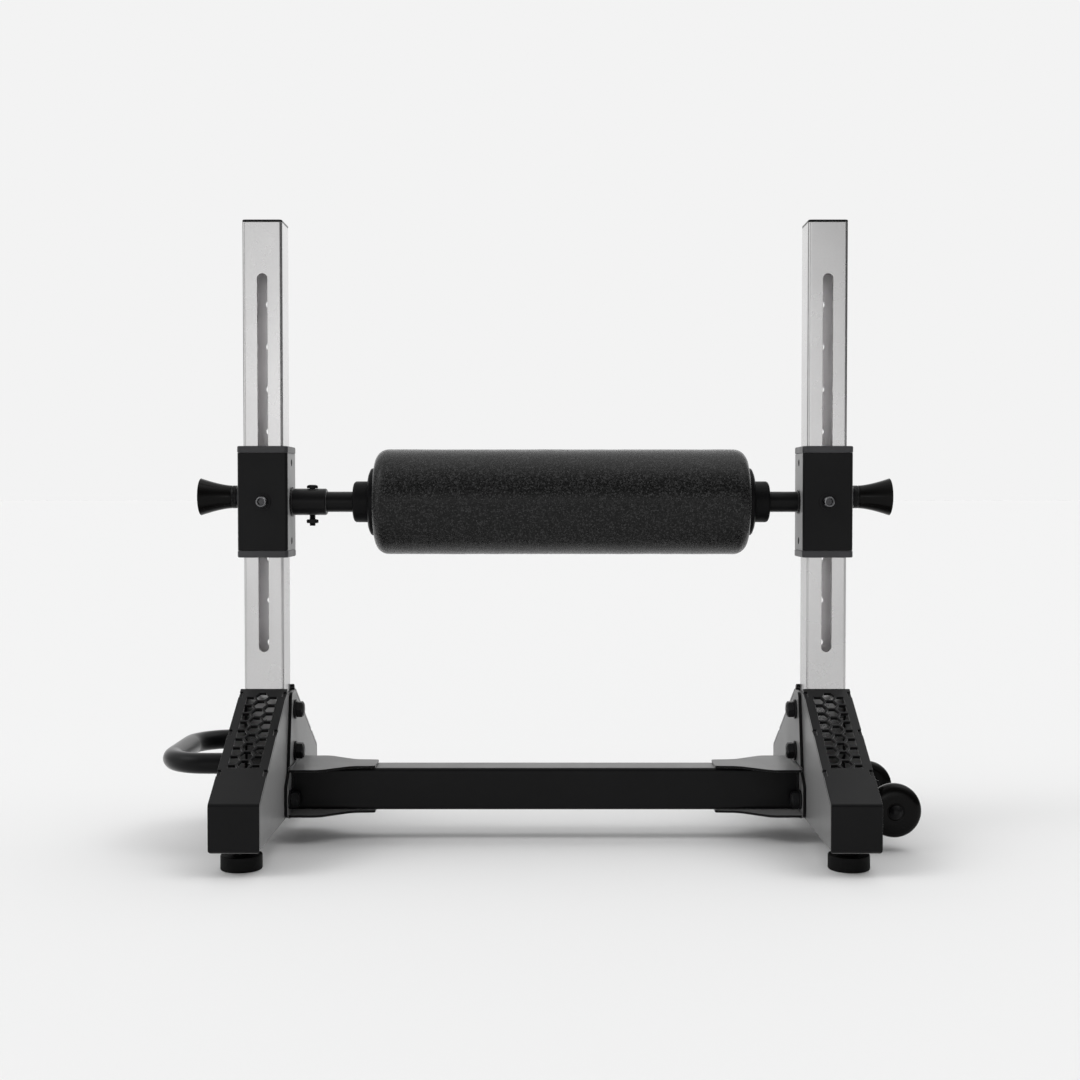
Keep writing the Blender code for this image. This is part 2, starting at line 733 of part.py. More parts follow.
def build_handle(stand):
    """Carrying handle: a tube bent into a level U, welded to the left foot."""
    reach = HANDLE_REACH_X - HANDLE_RADIUS
    bend_x = reach - HANDLE_BEND
    bend_y = HANDLE_LIMB_Y - HANDLE_BEND
    route = [((-FOOT_OUTER_X - GAP, -HANDLE_LIMB_Y), (-1.0, 0.0))]
    for k in range(2 * BEND_STEPS + 2):
        quarter, step = divmod(k, BEND_STEPS + 1)
        angle = (quarter + step / BEND_STEPS) * math.pi / 2
        centre_y = (2 * quarter - 1) * bend_y
        point = (
            -bend_x - HANDLE_BEND * math.sin(angle),
            centre_y - HANDLE_BEND * math.cos(angle),
        )
        route.append((point, (-math.cos(angle), math.sin(angle))))
    route.append(((-FOOT_OUTER_X - GAP, HANDLE_LIMB_Y), (1.0, 0.0)))

    def ring_at(point, heading, radius):
        sideways = Vector((-heading[1], heading[0], 0.0))
        centre = Vector((*point, HANDLE_Z))
        return [centre + sideways * u + Vector((0.0, 0.0, v)) for u, v in circle(radius, SMALL_SIDES)]

    loops = [ring_at(point, heading, HANDLE_RADIUS) for point, heading in route]
    inner = HANDLE_RADIUS - HANDLE_WALL
    loops += [ring_at(point, heading, inner) for point, heading in reversed(route)]
    bm = bmesh.new()
    loft(bm, loops, ring=True)
    piece("carry_handle", bm, stand, "black_coat", smooth=True)


def build_wheel_carrier(stand):
    """Bracket welded to the right foot, and the axle through its ears."""
    start = FOOT_OUTER_X + GAP
    back = start + BRACKET_PLATE
    nose = WHEEL_X + BRACKET_NOSE
    ear = BRACKET_EAR_Y
    channel = [
        (start, -ear),
        (nose, -ear),
        (nose, -ear + BRACKET_PLATE),
        (back, -ear + BRACKET_PLATE),
        (back, ear - BRACKET_PLATE),
        (nose, ear - BRACKET_PLATE),
        (nose, ear),
        (start, ear),
    ]
    bm = bmesh.new()
    prism(bm, channel, "Z", BRACKET_BOTTOM_Z, BRACKET_TOP_Z)
    bracket = piece("wheel_bracket", bm, stand, "black_coat")

    trim = bmesh.new()
    outside = nose + OVERCUT
    above = BRACKET_TOP_Z + OVERCUT
    outline = [
        (back + BRACKET_SHOULDER, above),
        (outside, WHEEL_Z + BRACKET_NOSE_RISE),
        (outside, above),
    ]
    span = through(1, ear, 2 * ear)
    prism(trim, outline, "Y", *span)
    drill(trim, [(WHEEL_X, WHEEL_Z)], AXLE_RADIUS + GAP, "Y", *span, sides=SMALL_SIDES)
    cut(bracket, trim)

    end = WHEEL_Y + WHEEL_HALF_WIDTH + WHEEL_PLAY
    hub_face = WHEEL_Y - WHEEL_HALF_WIDTH - WHEEL_PLAY
    ear_face = ear + GAP
    shank = circle(AXLE_RADIUS, SMALL_SIDES)
    head = circle(AXLE_HEAD_RADIUS, SMALL_SIDES)
    spacer = circle(SPACER_RADIUS, SMALL_SIDES)
    half = [
        (head, end + AXLE_HEAD),
        (head, end),
        (shank, end),
        (shank, hub_face),
        (spacer, hub_face),
        (spacer, ear_face),
        (shank, ear_face),
    ]
    levels = [(loop, -y) for loop, y in half] + [(loop, y) for loop, y in reversed(half)]
    bm = bmesh.new()
    loft(bm, [placed(loop, "Y", y, (WHEEL_X, WHEEL_Z)) for loop, y in levels])
    piece("wheel_axle", bm, stand, "grey_steel", smooth=True)


def build_wheel(name, facing, stand):
    """Moulded wheel with a crowned tread and a domed outer face."""
    spin = empty(name + "_wheel_axis", (WHEEL_X, facing * WHEEL_Y, WHEEL_Z), stand)
    bore = AXLE_RADIUS + GAP
    section = [(WHEEL_HALF_WIDTH * s, WHEEL_RADIUS * r) for s, r in WHEEL_SECTION]
    profile = [(-WHEEL_HALF_WIDTH, bore)] + section + [(WHEEL_HALF_WIDTH, bore)]
    bm = bmesh.new()
    turned(bm, [(facing * s, r) for s, r in profile], "Y", (0.0, 0.0), WHEEL_SIDES, ring=True)
    piece(name + "_wheel", bm, spin, "gloss_plastic", smooth=True)


def build_sleeve(name, side, carriage):
    """Square sleeve that slides on the upright, and the plastic liners in its ends."""
    half_tube = SLEEVE_TUBE / 2
    inner_size = SLEEVE_SIZE - 2 * SLEEVE_WALL
    centre = (side * UPRIGHT_X, 0.0)
    outer = square_loop(SLEEVE_SIZE, SLEEVE_SIZE, SLEEVE_CORNER)
    inner = square_loop(inner_size, inner_size, SLEEVE_CORNER - SLEEVE_WALL)
    loops = [placed(outer, "Z", z, centre) for z in (-half_tube, half_tube)]
    loops += [placed(inner, "Z", z, centre) for z in (half_tube, -half_tube)]
    bm = bmesh.new()
    loft(bm, loops, ring=True)
    sleeve = piece(name + "_sleeve", bm, carriage, "black_coat")

    cutter = bmesh.new()
    button = half_tube - LINER_BUTTON_DROP
    inner_wall = through(side, SLEEVE_INNER_X + SLEEVE_WALL, SLEEVE_WALL)
    places = [(0.0, button), (0.0, -button)]
    drill(cutter, places, LINER_BUTTON_RADIUS, "X", *inner_wall)
    outer_wall = through(side, SLEEVE_OUTER_X, SLEEVE_WALL)
    place = [(0.0, PIN_Z - ROLLER_Z)]
    drill(cutter, place, BARREL_RADIUS + GAP, "X", *outer_wall, sides=SMALL_SIDES)
    front_wall = through(FRONT, SLEEVE_HALF, SLEEVE_WALL)
    place = [(side * UPRIGHT_X, 0.0)]
    drill(cutter, place, GUIDE_RADIUS + GAP, "Y", *front_wall, sides=SMALL_SIDES)
    cut(sleeve, cutter)

    bore = UPRIGHT_SIZE + 2 * GAP
    plug = inner_size - 2 * GAP
    seat = half_tube + GAP
    top = half_tube + LINER_FLANGE
    levels = [
        (bore, UPRIGHT_CORNER, top),
        (LINER_FLANGE_SIZE - 2 * LINER_BEVEL, SLEEVE_CORNER, top),
        (LINER_FLANGE_SIZE, SLEEVE_CORNER, top - LINER_BEVEL),
        (LINER_FLANGE_SIZE, SLEEVE_CORNER, seat),
        (plug, UPRIGHT_CORNER, seat),
        (plug, UPRIGHT_CORNER, half_tube - LINER_DEPTH),
        (bore, UPRIGHT_CORNER, half_tube - LINER_DEPTH),
    ]
    for level, up in (("top", 1), ("bottom", -1)):
        bm = bmesh.new()
        loops = [placed(square_loop(s, s, c), "Z", up * z, centre) for s, c, z in levels]
        loft(bm, loops, ring=True)
        piece(f"{name}_{level}_liner", bm, carriage, "black_plastic")


def build_guide_bolt(name, side, carriage):
    """Cap screw through the sleeve's front wall, with its end in the upright's slot."""
    seat = -SLEEVE_HALF - GAP
    head = seat - GUIDE_WASHER
    levels = [
        (head - GUIDE_HEAD, GUIDE_HEAD_RADIUS - GUIDE_BEVEL),
        (head - GUIDE_HEAD + GUIDE_BEVEL, GUIDE_HEAD_RADIUS),
        (head, GUIDE_HEAD_RADIUS),
        (head, GUIDE_WASHER_RADIUS),
        (seat, GUIDE_WASHER_RADIUS),
        (seat, GUIDE_RADIUS),
        (-UPRIGHT_HALF + GUIDE_TIP_DEPTH, GUIDE_RADIUS),
    ]
    centre = (side * UPRIGHT_X, 0.0)
    bm = bmesh.new()
    loft(bm, [placed(circle(radius, SMALL_SIDES), "Y", y, centre) for y, radius in levels])
    bolt = piece(name + "_guide_bolt", bm, carriage, "grey_steel", smooth=True)
    key = bmesh.new()
    outline = [(centre[0] + x, z) for x, z in circle(GUIDE_KEY / math.sqrt(3), 6)]
    prism(key, outline, "Y", *through(FRONT, GUIDE_HEAD - head, GUIDE_KEY_DEPTH - OVERCUT))
    cut(bolt, key)


def build_shaft(carriage):
    """Roller shaft from the socket on the left sleeve to the right sleeve."""
    start = -SLEEVE_INNER_X + GAP
    end = start + SOCKET_LENGTH
    bore = SHAFT_RADIUS + GAP
    rim = SOCKET_RADIUS - SOCKET_CHAMFER
    profile = [
        (start, bore),
        (start, rim),
        (start + SOCKET_CHAMFER, SOCKET_RADIUS),
        (end - SOCKET_CHAMFER, SOCKET_RADIUS),
        (end, rim),
        (end, bore),
    ]
    bm = bmesh.new()
    turned(bm, profile, "X", (0.0, 0.0), NESTED_SIDES, ring=True)
    socket = piece("shaft_socket", bm, carriage, "black_coat", smooth=True)

    start += SHAFT_INSET
    end = SLEEVE_INNER_X - GAP
    inner = SHAFT_RADIUS - SHAFT_WALL
    profile = [(start, inner), (start, SHAFT_RADIUS), (end, SHAFT_RADIUS), (end, inner)]
    bm = bmesh.new()
    turned(bm, profile, "X", (0.0, 0.0), NESTED_SIDES, ring=True)
    shaft = piece("roller_shaft", bm, carriage, "black_coat", smooth=True)

    place = [(-SOCKET_BOLT_X, 0.0)]
    for target in (socket, shaft):
        cutter = bmesh.new()
        span = through(1, SOCKET_RADIUS, 2 * SOCKET_RADIUS)
        drill(cutter, place, SOCKET_BOLT_RADIUS + GAP, "Z", *span, sides=SMALL_SIDES)
        cut(target, cutter)

    top = SOCKET_RADIUS + GAP
    nut = hexagon(SOCKET_NUT_FLATS)
    shank = circle(SOCKET_BOLT_RADIUS, SMALL_SIDES)
    levels = [
        (circle(SOCKET_HEAD_RADIUS / 2, SMALL_SIDES), top + SOCKET_HEAD),
        (circle(SOCKET_HEAD_RADIUS, SMALL_SIDES), top + SOCKET_HEAD / 2),
        (circle(SOCKET_HEAD_RADIUS, SMALL_SIDES), top),
        (shank, top),
        (shank, -top),
        (nut, -top),
        (nut, -top - SOCKET_NUT),
        (shank, -top - SOCKET_NUT),
        (shank, -SOCKET_BOLT_TIP),
    ]
    bm = bmesh.new()
    loft(bm, [placed(loop, "Z", z, (-SOCKET_BOLT_X, 0.0)) for loop, z in levels])
    piece("socket_bolt", bm, carriage, "grey_steel", smooth=True)


def build_roller(carriage):
    """Foam roller on its core tube, turning on bushes in the two end hubs."""
    spin = empty("roller_axis", (ROLLER_CENTRE_X, 0.0, 0.0), carriage)
    half = FOAM_LENGTH / 2
    edge = [
        (
            half - FOAM_EDGE * (1 - math.sin(angle)),
            FOAM_RADIUS - FOAM_EDGE * (1 - math.cos(angle)),
        )
        for angle in [math.pi / 2 * k / EDGE_STEPS for k in range(EDGE_STEPS + 1)]
    ]
    bore = CORE_RADIUS + GAP
    side_profile = edge + [(half, bore)]
    profile = [(-s, r) for s, r in reversed(side_profile)] + side_profile
    bm = bmesh.new()
    turned(bm, profile, "X", (0.0, 0.0), FOAM_SIDES, ring=True)
    piece("roller_foam", bm, spin, "foam", smooth=True)

    inner = CORE_RADIUS - CORE_WALL
    profile = [(-half, inner), (-half, CORE_RADIUS), (half, CORE_RADIUS), (half, inner)]
    bm = bmesh.new()
    turned(bm, profile, "X", (0.0, 0.0), NESTED_SIDES, ring=True)
    piece("roller_core", bm, spin, "grey_steel", smooth=True)

    bush_bore = SHAFT_RADIUS + GAP
    bush_outer = bush_bore + BUSH_WALL
    hub_bore = bush_outer + GAP
    start = half + GAP
    flange = start + HUB_FLANGE
    end = flange + HUB_LENGTH
    for name, side in SIDES:
        profile = [
            (half - HUB_SPIGOT, hub_bore),
            (half - HUB_SPIGOT, inner - GAP),
            (start, inner - GAP),
            (start, HUB_FLANGE_RADIUS),
            (start + HUB_CHAMFER, HUB_FLANGE_RADIUS),
            (flange, HUB_FLANGE_RADIUS - HUB_FLANGE_CHAMFER),
            (flange, HUB_RADIUS),
            (end - HUB_CHAMFER, HUB_RADIUS),
            (end, HUB_RADIUS - HUB_CHAMFER),
            (end, hub_bore),
        ]
        bm = bmesh.new()
        turned(bm, [(side * s, r) for s, r in profile], "X", (0.0, 0.0), NESTED_SIDES, ring=True)
        piece(name + "_roller_hub", bm, spin, "black_plastic", smooth=True)
        near = end - BUSH_LENGTH
        profile = [(near, bush_bore), (near, bush_outer), (end, bush_outer), (end, bush_bore)]
        bm = bmesh.new()
        turned(bm, [(side * s, r) for s, r in profile], "X", (0.0, 0.0), NESTED_SIDES, ring=True)
        piece(name + "_roller_bush", bm, spin, "black_plastic", smooth=True)


def build_lock_pin(name, side, carriage):
    """Lock pin: barrel in the sleeve's outer wall, spring, and pin with its knob.

    Distances along the pin run outwards from the sleeve's outer face. The pin is
    drawn out: its tip is just clear of the upright.
    """
    height = PIN_Z - ROLLER_Z
    face = side * SLEEVE_OUTER_X
    profile = [
        (-SLEEVE_WALL, BARREL_BORE),
        (-SLEEVE_WALL, BARREL_RADIUS),
        (BARREL_LENGTH, BARREL_RADIUS),
        (BARREL_LENGTH, PIN_RADIUS + GAP),
        (BARREL_LENGTH - BARREL_END_WALL, PIN_RADIUS + GAP),
        (BARREL_LENGTH - BARREL_END_WALL, BARREL_BORE),
    ]
    bm = bmesh.new()
    turned(bm, [(face + side * s, r) for s, r in profile], "X", (0.0, height), SMALL_SIDES, ring=True)
    piece(name + "_pin_barrel", bm, carriage, "grey_steel", smooth=True)

    slide = empty(name + "_pin_axis", (face, 0.0, height), carriage)
    tip = UPRIGHT_HALF - SLEEVE_HALF + PIN_TIP_CLEARANCE
    collar_end = COLLAR_START + COLLAR_THICKNESS
    profile = [
        (tip, 0.0),
        (tip, PIN_RADIUS),
        (COLLAR_START, PIN_RADIUS),
        (COLLAR_START, COLLAR_RADIUS),
        (collar_end, COLLAR_RADIUS),
        (collar_end, PIN_RADIUS),
        (KNOB_BORE_END, PIN_RADIUS),
        (KNOB_BORE_END, KNOB_BORE),
        (KNOB_BASE, KNOB_BORE),
        (KNOB_BASE, KNOB_NECK_RADIUS),
        (KNOB_BAND, KNOB_NECK_RADIUS),
    ]
    growth = KNOB_RIM_RADIUS - KNOB_NECK_RADIUS
    for k in range(1, FLARE_STEPS + 1):
        share = k / FLARE_STEPS
        along = KNOB_BAND + (KNOB_RIM - KNOB_BAND) * share
        profile.append((along, KNOB_NECK_RADIUS + growth * share**KNOB_FLARE_POWER))
    profile += [(KNOB_DOME, KNOB_DOME_RADIUS), (KNOB_LENGTH, 0.0)]
    bm = bmesh.new()
    turned(bm, [(side * s, r) for s, r in profile], "X", (0.0, 0.0), KNOB_SIDES)
    piece(name + "_pull_pin", bm, slide, "gloss_plastic", smooth=True)

    start = collar_end + GAP + SPRING_WIRE
    end = BARREL_LENGTH - BARREL_END_WALL - GAP - SPRING_WIRE
    count = SPRING_TURNS * SPRING_TURN_STEPS
    curve = bpy.data.curves.new(name + "_pin_spring", "CURVE")
    curve.dimensions = "3D"
    curve.bevel_depth = SPRING_WIRE
    curve.bevel_resolution = 0
    curve.use_fill_caps = True
    spline = curve.splines.new("POLY")
    spline.points.add(count)
    for i, point in enumerate(spline.points):
        angle = 2 * math.pi * i / SPRING_TURN_STEPS
        along = start + (end - start) * i / count
        across_u = SPRING_RADIUS * math.cos(angle)
        across_v = SPRING_RADIUS * math.sin(angle)
        point.co = (face + side * along, across_u, height + across_v, 1.0)
    spring = bpy.data.objects.new(name + "_pin_spring", curve)
    bpy.context.collection.objects.link(spring)
    spring.parent = carriage
    paint(spring, "spring_steel")


def build_stand():
    """Build every piece under one empty that centres the stand over the origin."""
    clear_scene()
    stand = empty("stand", (CENTRE_SHIFT, 0.0, 0.0))
    carriage = empty("carriage", (0.0, 0.0, ROLLER_Z), stand)
    for name, side in SIDES:
        build_upright(name, side, stand)
        build_cap(name, side, stand)
        build_side_plate(name, side, False, stand)
        build_side_plate(name, side, True, stand)
        for end_name, facing in ENDS:
            build_cover(name, side, end_name, facing, stand)
            build_rubber_foot(name, side, end_name, facing, stand)
        build_frame_bolts(name, side, stand)
        build_sleeve(name, side, carriage)
        build_guide_bolt(name, side, carriage)
        build_lock_pin(name, side, carriage)
    build_cross_member(stand)
    build_handle(stand)
    build_wheel_carrier(stand)
    build_wheel("front", FRONT, stand)
    build_wheel("rear", REAR, stand)
    build_shaft(carriage)
    build_roller(carriage)


build_stand()
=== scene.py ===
"""Split squat stand dressed for a studio picture.

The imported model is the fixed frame. Every piece is modelled in its final place, in
metres, over the solid that it stands for, and given a procedural finish. The stand
faces -Y; the handle is on its left side and the wheels are on its right side.
"""

import logging
import math
from collections.abc import Callable, Iterator, Sequence
from contextlib import contextmanager
from dataclasses import dataclass
from enum import Enum

import bmesh
import bpy
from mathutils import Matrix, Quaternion, Vector


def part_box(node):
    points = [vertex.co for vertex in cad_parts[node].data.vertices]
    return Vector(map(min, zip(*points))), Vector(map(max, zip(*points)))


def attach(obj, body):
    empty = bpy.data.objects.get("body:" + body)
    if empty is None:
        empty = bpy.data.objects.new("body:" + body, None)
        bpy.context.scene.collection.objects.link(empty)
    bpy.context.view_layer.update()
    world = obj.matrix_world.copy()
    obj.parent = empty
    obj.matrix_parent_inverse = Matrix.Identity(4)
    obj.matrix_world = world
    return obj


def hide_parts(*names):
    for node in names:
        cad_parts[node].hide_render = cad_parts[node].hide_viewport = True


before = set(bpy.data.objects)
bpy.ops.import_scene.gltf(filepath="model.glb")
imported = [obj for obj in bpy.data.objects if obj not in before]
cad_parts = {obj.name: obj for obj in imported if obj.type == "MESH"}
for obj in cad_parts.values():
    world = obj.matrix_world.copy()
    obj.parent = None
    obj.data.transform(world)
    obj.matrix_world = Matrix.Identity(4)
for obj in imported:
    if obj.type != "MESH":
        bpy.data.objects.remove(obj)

log = logging.getLogger("stand")

Span = tuple[float, float]
Profile = Sequence[Span]
Colour = tuple[float, float, float]
Piece = bpy.types.Object
Node = bpy.types.Node
Socket = bpy.types.NodeSocket
Sockets = bpy.types.bpy_prop_collection

ALONG_X = Vector((1.0, 0.0, 0.0))
ALONG_Y = Vector((0.0, 1.0, 0.0))
ALONG_Z = Vector((0.0, 0.0, 1.0))

# Clearance that the solids keep between pieces that touch
GAP = 0.0003

# How far a cutter runs past the wall it cuts
OVERCUT = 0.002

# Surfaces that meet at less than this are shaded as one
SMOOTH_ANGLE = math.radians(40)

# Bevel on the edges of plates, covers and sleeves
PLATE_EDGE = 0.0005

# Turn that puts a flat of a hexagon on top, or in front where its axis is upright
HEX_TURN = math.pi / 6

# Radius and pitch of the threads
M8 = (0.004, 0.00125)
M10 = (0.005, 0.0015)
M12 = (0.006, 0.00175)


@dataclass(frozen=True)
class Box:
    """Lowest and highest corner of something."""

    low: Vector
    high: Vector

    @classmethod
    def of(cls, node: str) -> "Box":
        """Box of one solid of the frame."""
        return cls(*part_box(node))

    @property
    def centre(self) -> Vector:
        """Middle of the box."""
        return (self.low + self.high) / 2

    @property
    def size(self) -> Vector:
        """Length of the box along each axis."""
        return self.high - self.low


# The stand's plane of symmetry, between the two uprights
MID_X = (Box.of("left_upright").centre.x + Box.of("right_upright").centre.x) / 2


class Side(Enum):
    """The two sides of the stand."""

    LEFT = "left"
    RIGHT = "right"


# Modelling tools


def only(*objs: Piece) -> None:
    """Select these objects alone and make the first one active."""
    bpy.ops.object.select_all(action="DESELECT")
    for obj in objs:
        obj.select_set(True)
    bpy.context.view_layer.objects.active = objs[0]


@contextmanager
def editing(obj: Piece, kind: str = "FACE") -> Iterator[None]:
    """Edit one mesh with nothing selected in it.

    Args:
        obj: The mesh object.
        kind: What is selected: VERT, EDGE or FACE.
    """
    only(obj)
    bpy.ops.object.mode_set(mode="EDIT")
    bpy.ops.mesh.select_mode(type=kind)
    bpy.ops.mesh.select_all(action="DESELECT")
    yield
    bpy.ops.object.mode_set(mode="OBJECT")


def everything() -> None:
    """Select the whole mesh in edit mode."""
    bpy.ops.mesh.select_all(action="SELECT")


def pull(move: Sequence[float]) -> None:
    """Extrude what is selected in edit mode."""
    bpy.ops.mesh.extrude_region_move(TRANSFORM_OT_translate={"value": move})


def pick(obj: Piece, kind: str, test: Callable) -> int:
    """Select the faces, edges or vertices that pass a test.

    Args:
        obj: The mesh in edit mode.
        kind: VERT, EDGE or FACE.
        test: Says of one element whether it is wanted.

    Returns:
        How many were selected.
    """
    bpy.ops.mesh.select_mode(type=kind)
    bpy.ops.mesh.select_all(action="DESELECT")
    mesh = bmesh.from_edit_mesh(obj.data)
    mesh.normal_update()
    elements = {"VERT": mesh.verts, "EDGE": mesh.edges, "FACE": mesh.faces}[kind]
    wanted = [element for element in elements if test(element)]
    for element in wanted:
        element.select_set(True)
    mesh.select_flush_mode()
    bmesh.update_edit_mesh(obj.data)
    return len(wanted)


def runs_along(edge: bmesh.types.BMEdge, direction: Vector) -> bool:
    """Whether an edge is parallel to a direction."""
    span = edge.verts[1].co - edge.verts[0].co
    return abs(span.normalized().dot(direction)) > 0.999


def middle(element: bmesh.types.BMEdge | bmesh.types.BMFace) -> Vector:
    """Middle of an edge or face."""
    return sum((v.co for v in element.verts), Vector()) / len(element.verts)


def settle(obj: Piece, name: str | None = None) -> Piece:
    """Move an object's place into its mesh, and name it."""
    only(obj)
    bpy.ops.object.transform_apply(location=True, rotation=True, scale=True)
    if name:
        obj.name = name
    return obj


def facing(direction: Vector, turn: float = 0.0) -> tuple[float, float, float]:
    """Rotation that points a primitive's Z along a direction, turned about it."""
    aim = direction.to_track_quat("Z", "Y") @ Quaternion((0, 0, 1), turn)
    return tuple(aim.to_euler())


def block(name: str, low: Sequence[float], high: Sequence[float]) -> Piece:
    """Add a cube between two corners."""
    low, high = Vector(low), Vector(high)
    bpy.ops.mesh.primitive_cube_add(size=1.0, location=(low + high) / 2, scale=high - low)
    return settle(bpy.context.object, name)


def rod(
    name: str,
    direction: Vector,
    centre: Vector,
    radius: float,
    span: Span,
    sides: int = 32,
    turn: float = 0.0,
) -> Piece:
    """Add a cylinder along a direction.

    Args:
        name: Name of the new piece.
        direction: Axis of the cylinder.
        centre: Point on the axis from which the span is measured.
        radius: Radius to its corners.
        span: Start and end along the axis.
        sides: Number of sides.
        turn: Turn about the axis, in radians.

    Returns:
        The new object.
    """
    low, high = span
    bpy.ops.mesh.primitive_cylinder_add(
        vertices=sides,
        radius=radius,
        depth=high - low,
        location=centre + direction * (low + high) / 2,
        rotation=facing(direction, turn),
    )
    return settle(bpy.context.object, name)


def modify(obj: Piece, kind: str, **settings) -> None:
    """Add a modifier with these settings and apply it."""
    only(obj)
    modifier = obj.modifiers.new(kind.lower(), kind)
    for key, value in settings.items():
        setattr(modifier, key, value)
    bpy.ops.object.modifier_apply(modifier=modifier.name)


def joined(name: str, *objs: Piece) -> Piece:
    """Join objects into the first one."""
    only(*objs)
    if len(objs) > 1:
        bpy.ops.object.join()
    objs[0].name = name
    return objs[0]


def carve(target: Piece, *cutters: Piece, keep: str = "DIFFERENCE") -> None:
    """Cut one mesh with others in a single Boolean, and remove the cutters."""
    cutter = joined("cutter", *cutters)
    modify(target, "BOOLEAN", operation=keep, solver="EXACT", object=cutter)
    bpy.data.objects.remove(cutter)


def copied(obj: Piece, name: str, move: Sequence[float] = (0, 0, 0)) -> Piece:
    """Copy a piece with its own mesh and move the copy."""
    only(obj)
    bpy.ops.object.duplicate()
    copy = bpy.context.object
    bpy.ops.transform.translate(value=move)
    return settle(copy, name)


def mirrored(obj: Piece, name: str, across: Vector = ALONG_X, plane: float = MID_X) -> Piece:
    """Copy a piece to the other side of a plane.

    Args:
        obj: The piece to copy.
        name: Name of the copy.
        across: Axis that the plane stands across.
        plane: Where the plane is on that axis.

    Returns:
        The copy, with its faces outwards.
    """
    copy = copied(obj, name)
    with editing(copy):
        everything()
        flip = [1.0 - 2.0 * abs(part) for part in across]
        bpy.ops.transform.resize(value=flip, center_override=across * plane)
        bpy.ops.mesh.flip_normals()
    return copy


def step_rings(direction: Vector, centre: Vector, rings: Profile) -> None:
    """Extrude the selected ring of edges from size to size along a direction.

    Args:
        direction: Axis that the rings stand across.
        centre: Point on the axis from which distances are measured.
        rings: (distance, size) of each ring; the first is the selected one.
    """
    for (start, size), (end, new_size) in zip(rings, rings[1:]):
        move = direction * (end - start)
        pull(move)
        if abs(new_size - size) > 1e-9:
            share = new_size / size
            scale = [1.0 if abs(part) > 0.5 else share for part in direction]
            at = centre + direction * end
            bpy.ops.transform.resize(value=scale, center_override=at)


def closed_up(ring: bool) -> None:
    """Close the mesh in edit mode: ends joined in a ring or filled, faces outwards."""
    everything()
    if ring:
        bpy.ops.mesh.remove_doubles(threshold=1e-6)
    else:
        bpy.ops.mesh.fill_holes(sides=0)
    bpy.ops.mesh.normals_make_consistent(inside=False)


def turned(
    name: str,
    direction: Vector,
    centre: Vector,
    profile: Profile,
    sides: int = 48,
    ring: bool = False,
) -> Piece:
    """Model a round piece from a circle, extruded and scaled ring by ring.

    Args:
        name: Name of the new piece.
        direction: Axis of the piece.
        centre: Point on the axis from which distances are measured.
        profile: (distance along, radius) points.
        sides: Number of sides.
        ring: Whether the last point joins the first; otherwise both ends are filled.

    Returns:
        The new closed object.
    """
    rings = [*profile, profile[0]] if ring else list(profile)
    start, radius = rings[0]
    bpy.ops.mesh.primitive_circle_add(
        vertices=sides,
        radius=radius,
        fill_type="NOTHING",
        location=centre + direction * start,
        rotation=facing(direction),
    )
    obj = settle(bpy.context.object, name)
    with editing(obj, "EDGE"):
        everything()
        step_rings(direction, centre, rings)
        closed_up(ring)
    return obj


def square_ring(
    name: str, centre: Vector, levels: Profile, corner: float, segments: int = 6
) -> Piece:
    """Model a square sleeve from a rounded square, extruded and scaled up and down.

    Args:
        name: Name of the new piece.
        centre: Middle of the sleeve, from which heights are measured.
        levels: (height, side length) of each ring; the last joins the first.
        corner: Corner radius of the first ring.
        segments: Segments in each corner.

    Returns:
        The new closed object.
    """
    rings = [*levels, levels[0]]
    start, size = rings[0]
    bpy.ops.mesh.primitive_plane_add(size=size, location=centre + ALONG_Z * start)
    obj = settle(bpy.context.object, name)
    with editing(obj, "VERT"):
        everything()
        bpy.ops.mesh.bevel(affect="VERTICES", offset=corner, segments=segments)
        pick(obj, "FACE", lambda f: True)
        bpy.ops.mesh.delete(type="ONLY_FACE")
        bpy.ops.mesh.select_mode(type="EDGE")
        everything()
        step_rings(ALONG_Z, centre, rings)
        closed_up(True)
    return obj


def square_tube(
    name: str, low: Vector, high: Vector, direction: Vector, corner: float, wall: float
) -> Piece:
    """Model a square tube: a cube with round corners, open ends and a wall.

    Args:
        name: Name of the new piece.
        low: Lowest corner.
        high: Highest corner.
        direction: Axis of the tube.
        corner: Outer corner radius.
        wall: Wall thickness.

    Returns:
        The new object.
    """
    tube = block(name, low, high)
    with editing(tube):
        pick(tube, "EDGE", lambda e: runs_along(e, direction))
        bpy.ops.mesh.bevel(offset=corner, segments=6)
        pick(tube, "FACE", lambda f: abs(f.normal.dot(direction)) > 0.9)
        bpy.ops.mesh.delete(type="FACE")
    modify(tube, "SOLIDIFY", thickness=wall, offset=-1.0, use_even_offset=True)
    return tube


def traced(name: str, points: Sequence[Vector], closed: bool) -> Piece:
    """Draw a line of edges by extruding one vertex from point to point."""
    bpy.ops.mesh.primitive_plane_add(size=0.001, location=points[0])
    obj = settle(bpy.context.object, name)
    with editing(obj, "VERT"):
        everything()
        bpy.ops.mesh.merge(type="CENTER")
        ends = list(points) + ([points[0]] if closed else [])
        for start, end in zip(ends, ends[1:]):
            pull(end - start)
        everything()
        bpy.ops.mesh.remove_doubles(threshold=1e-6)
    return obj


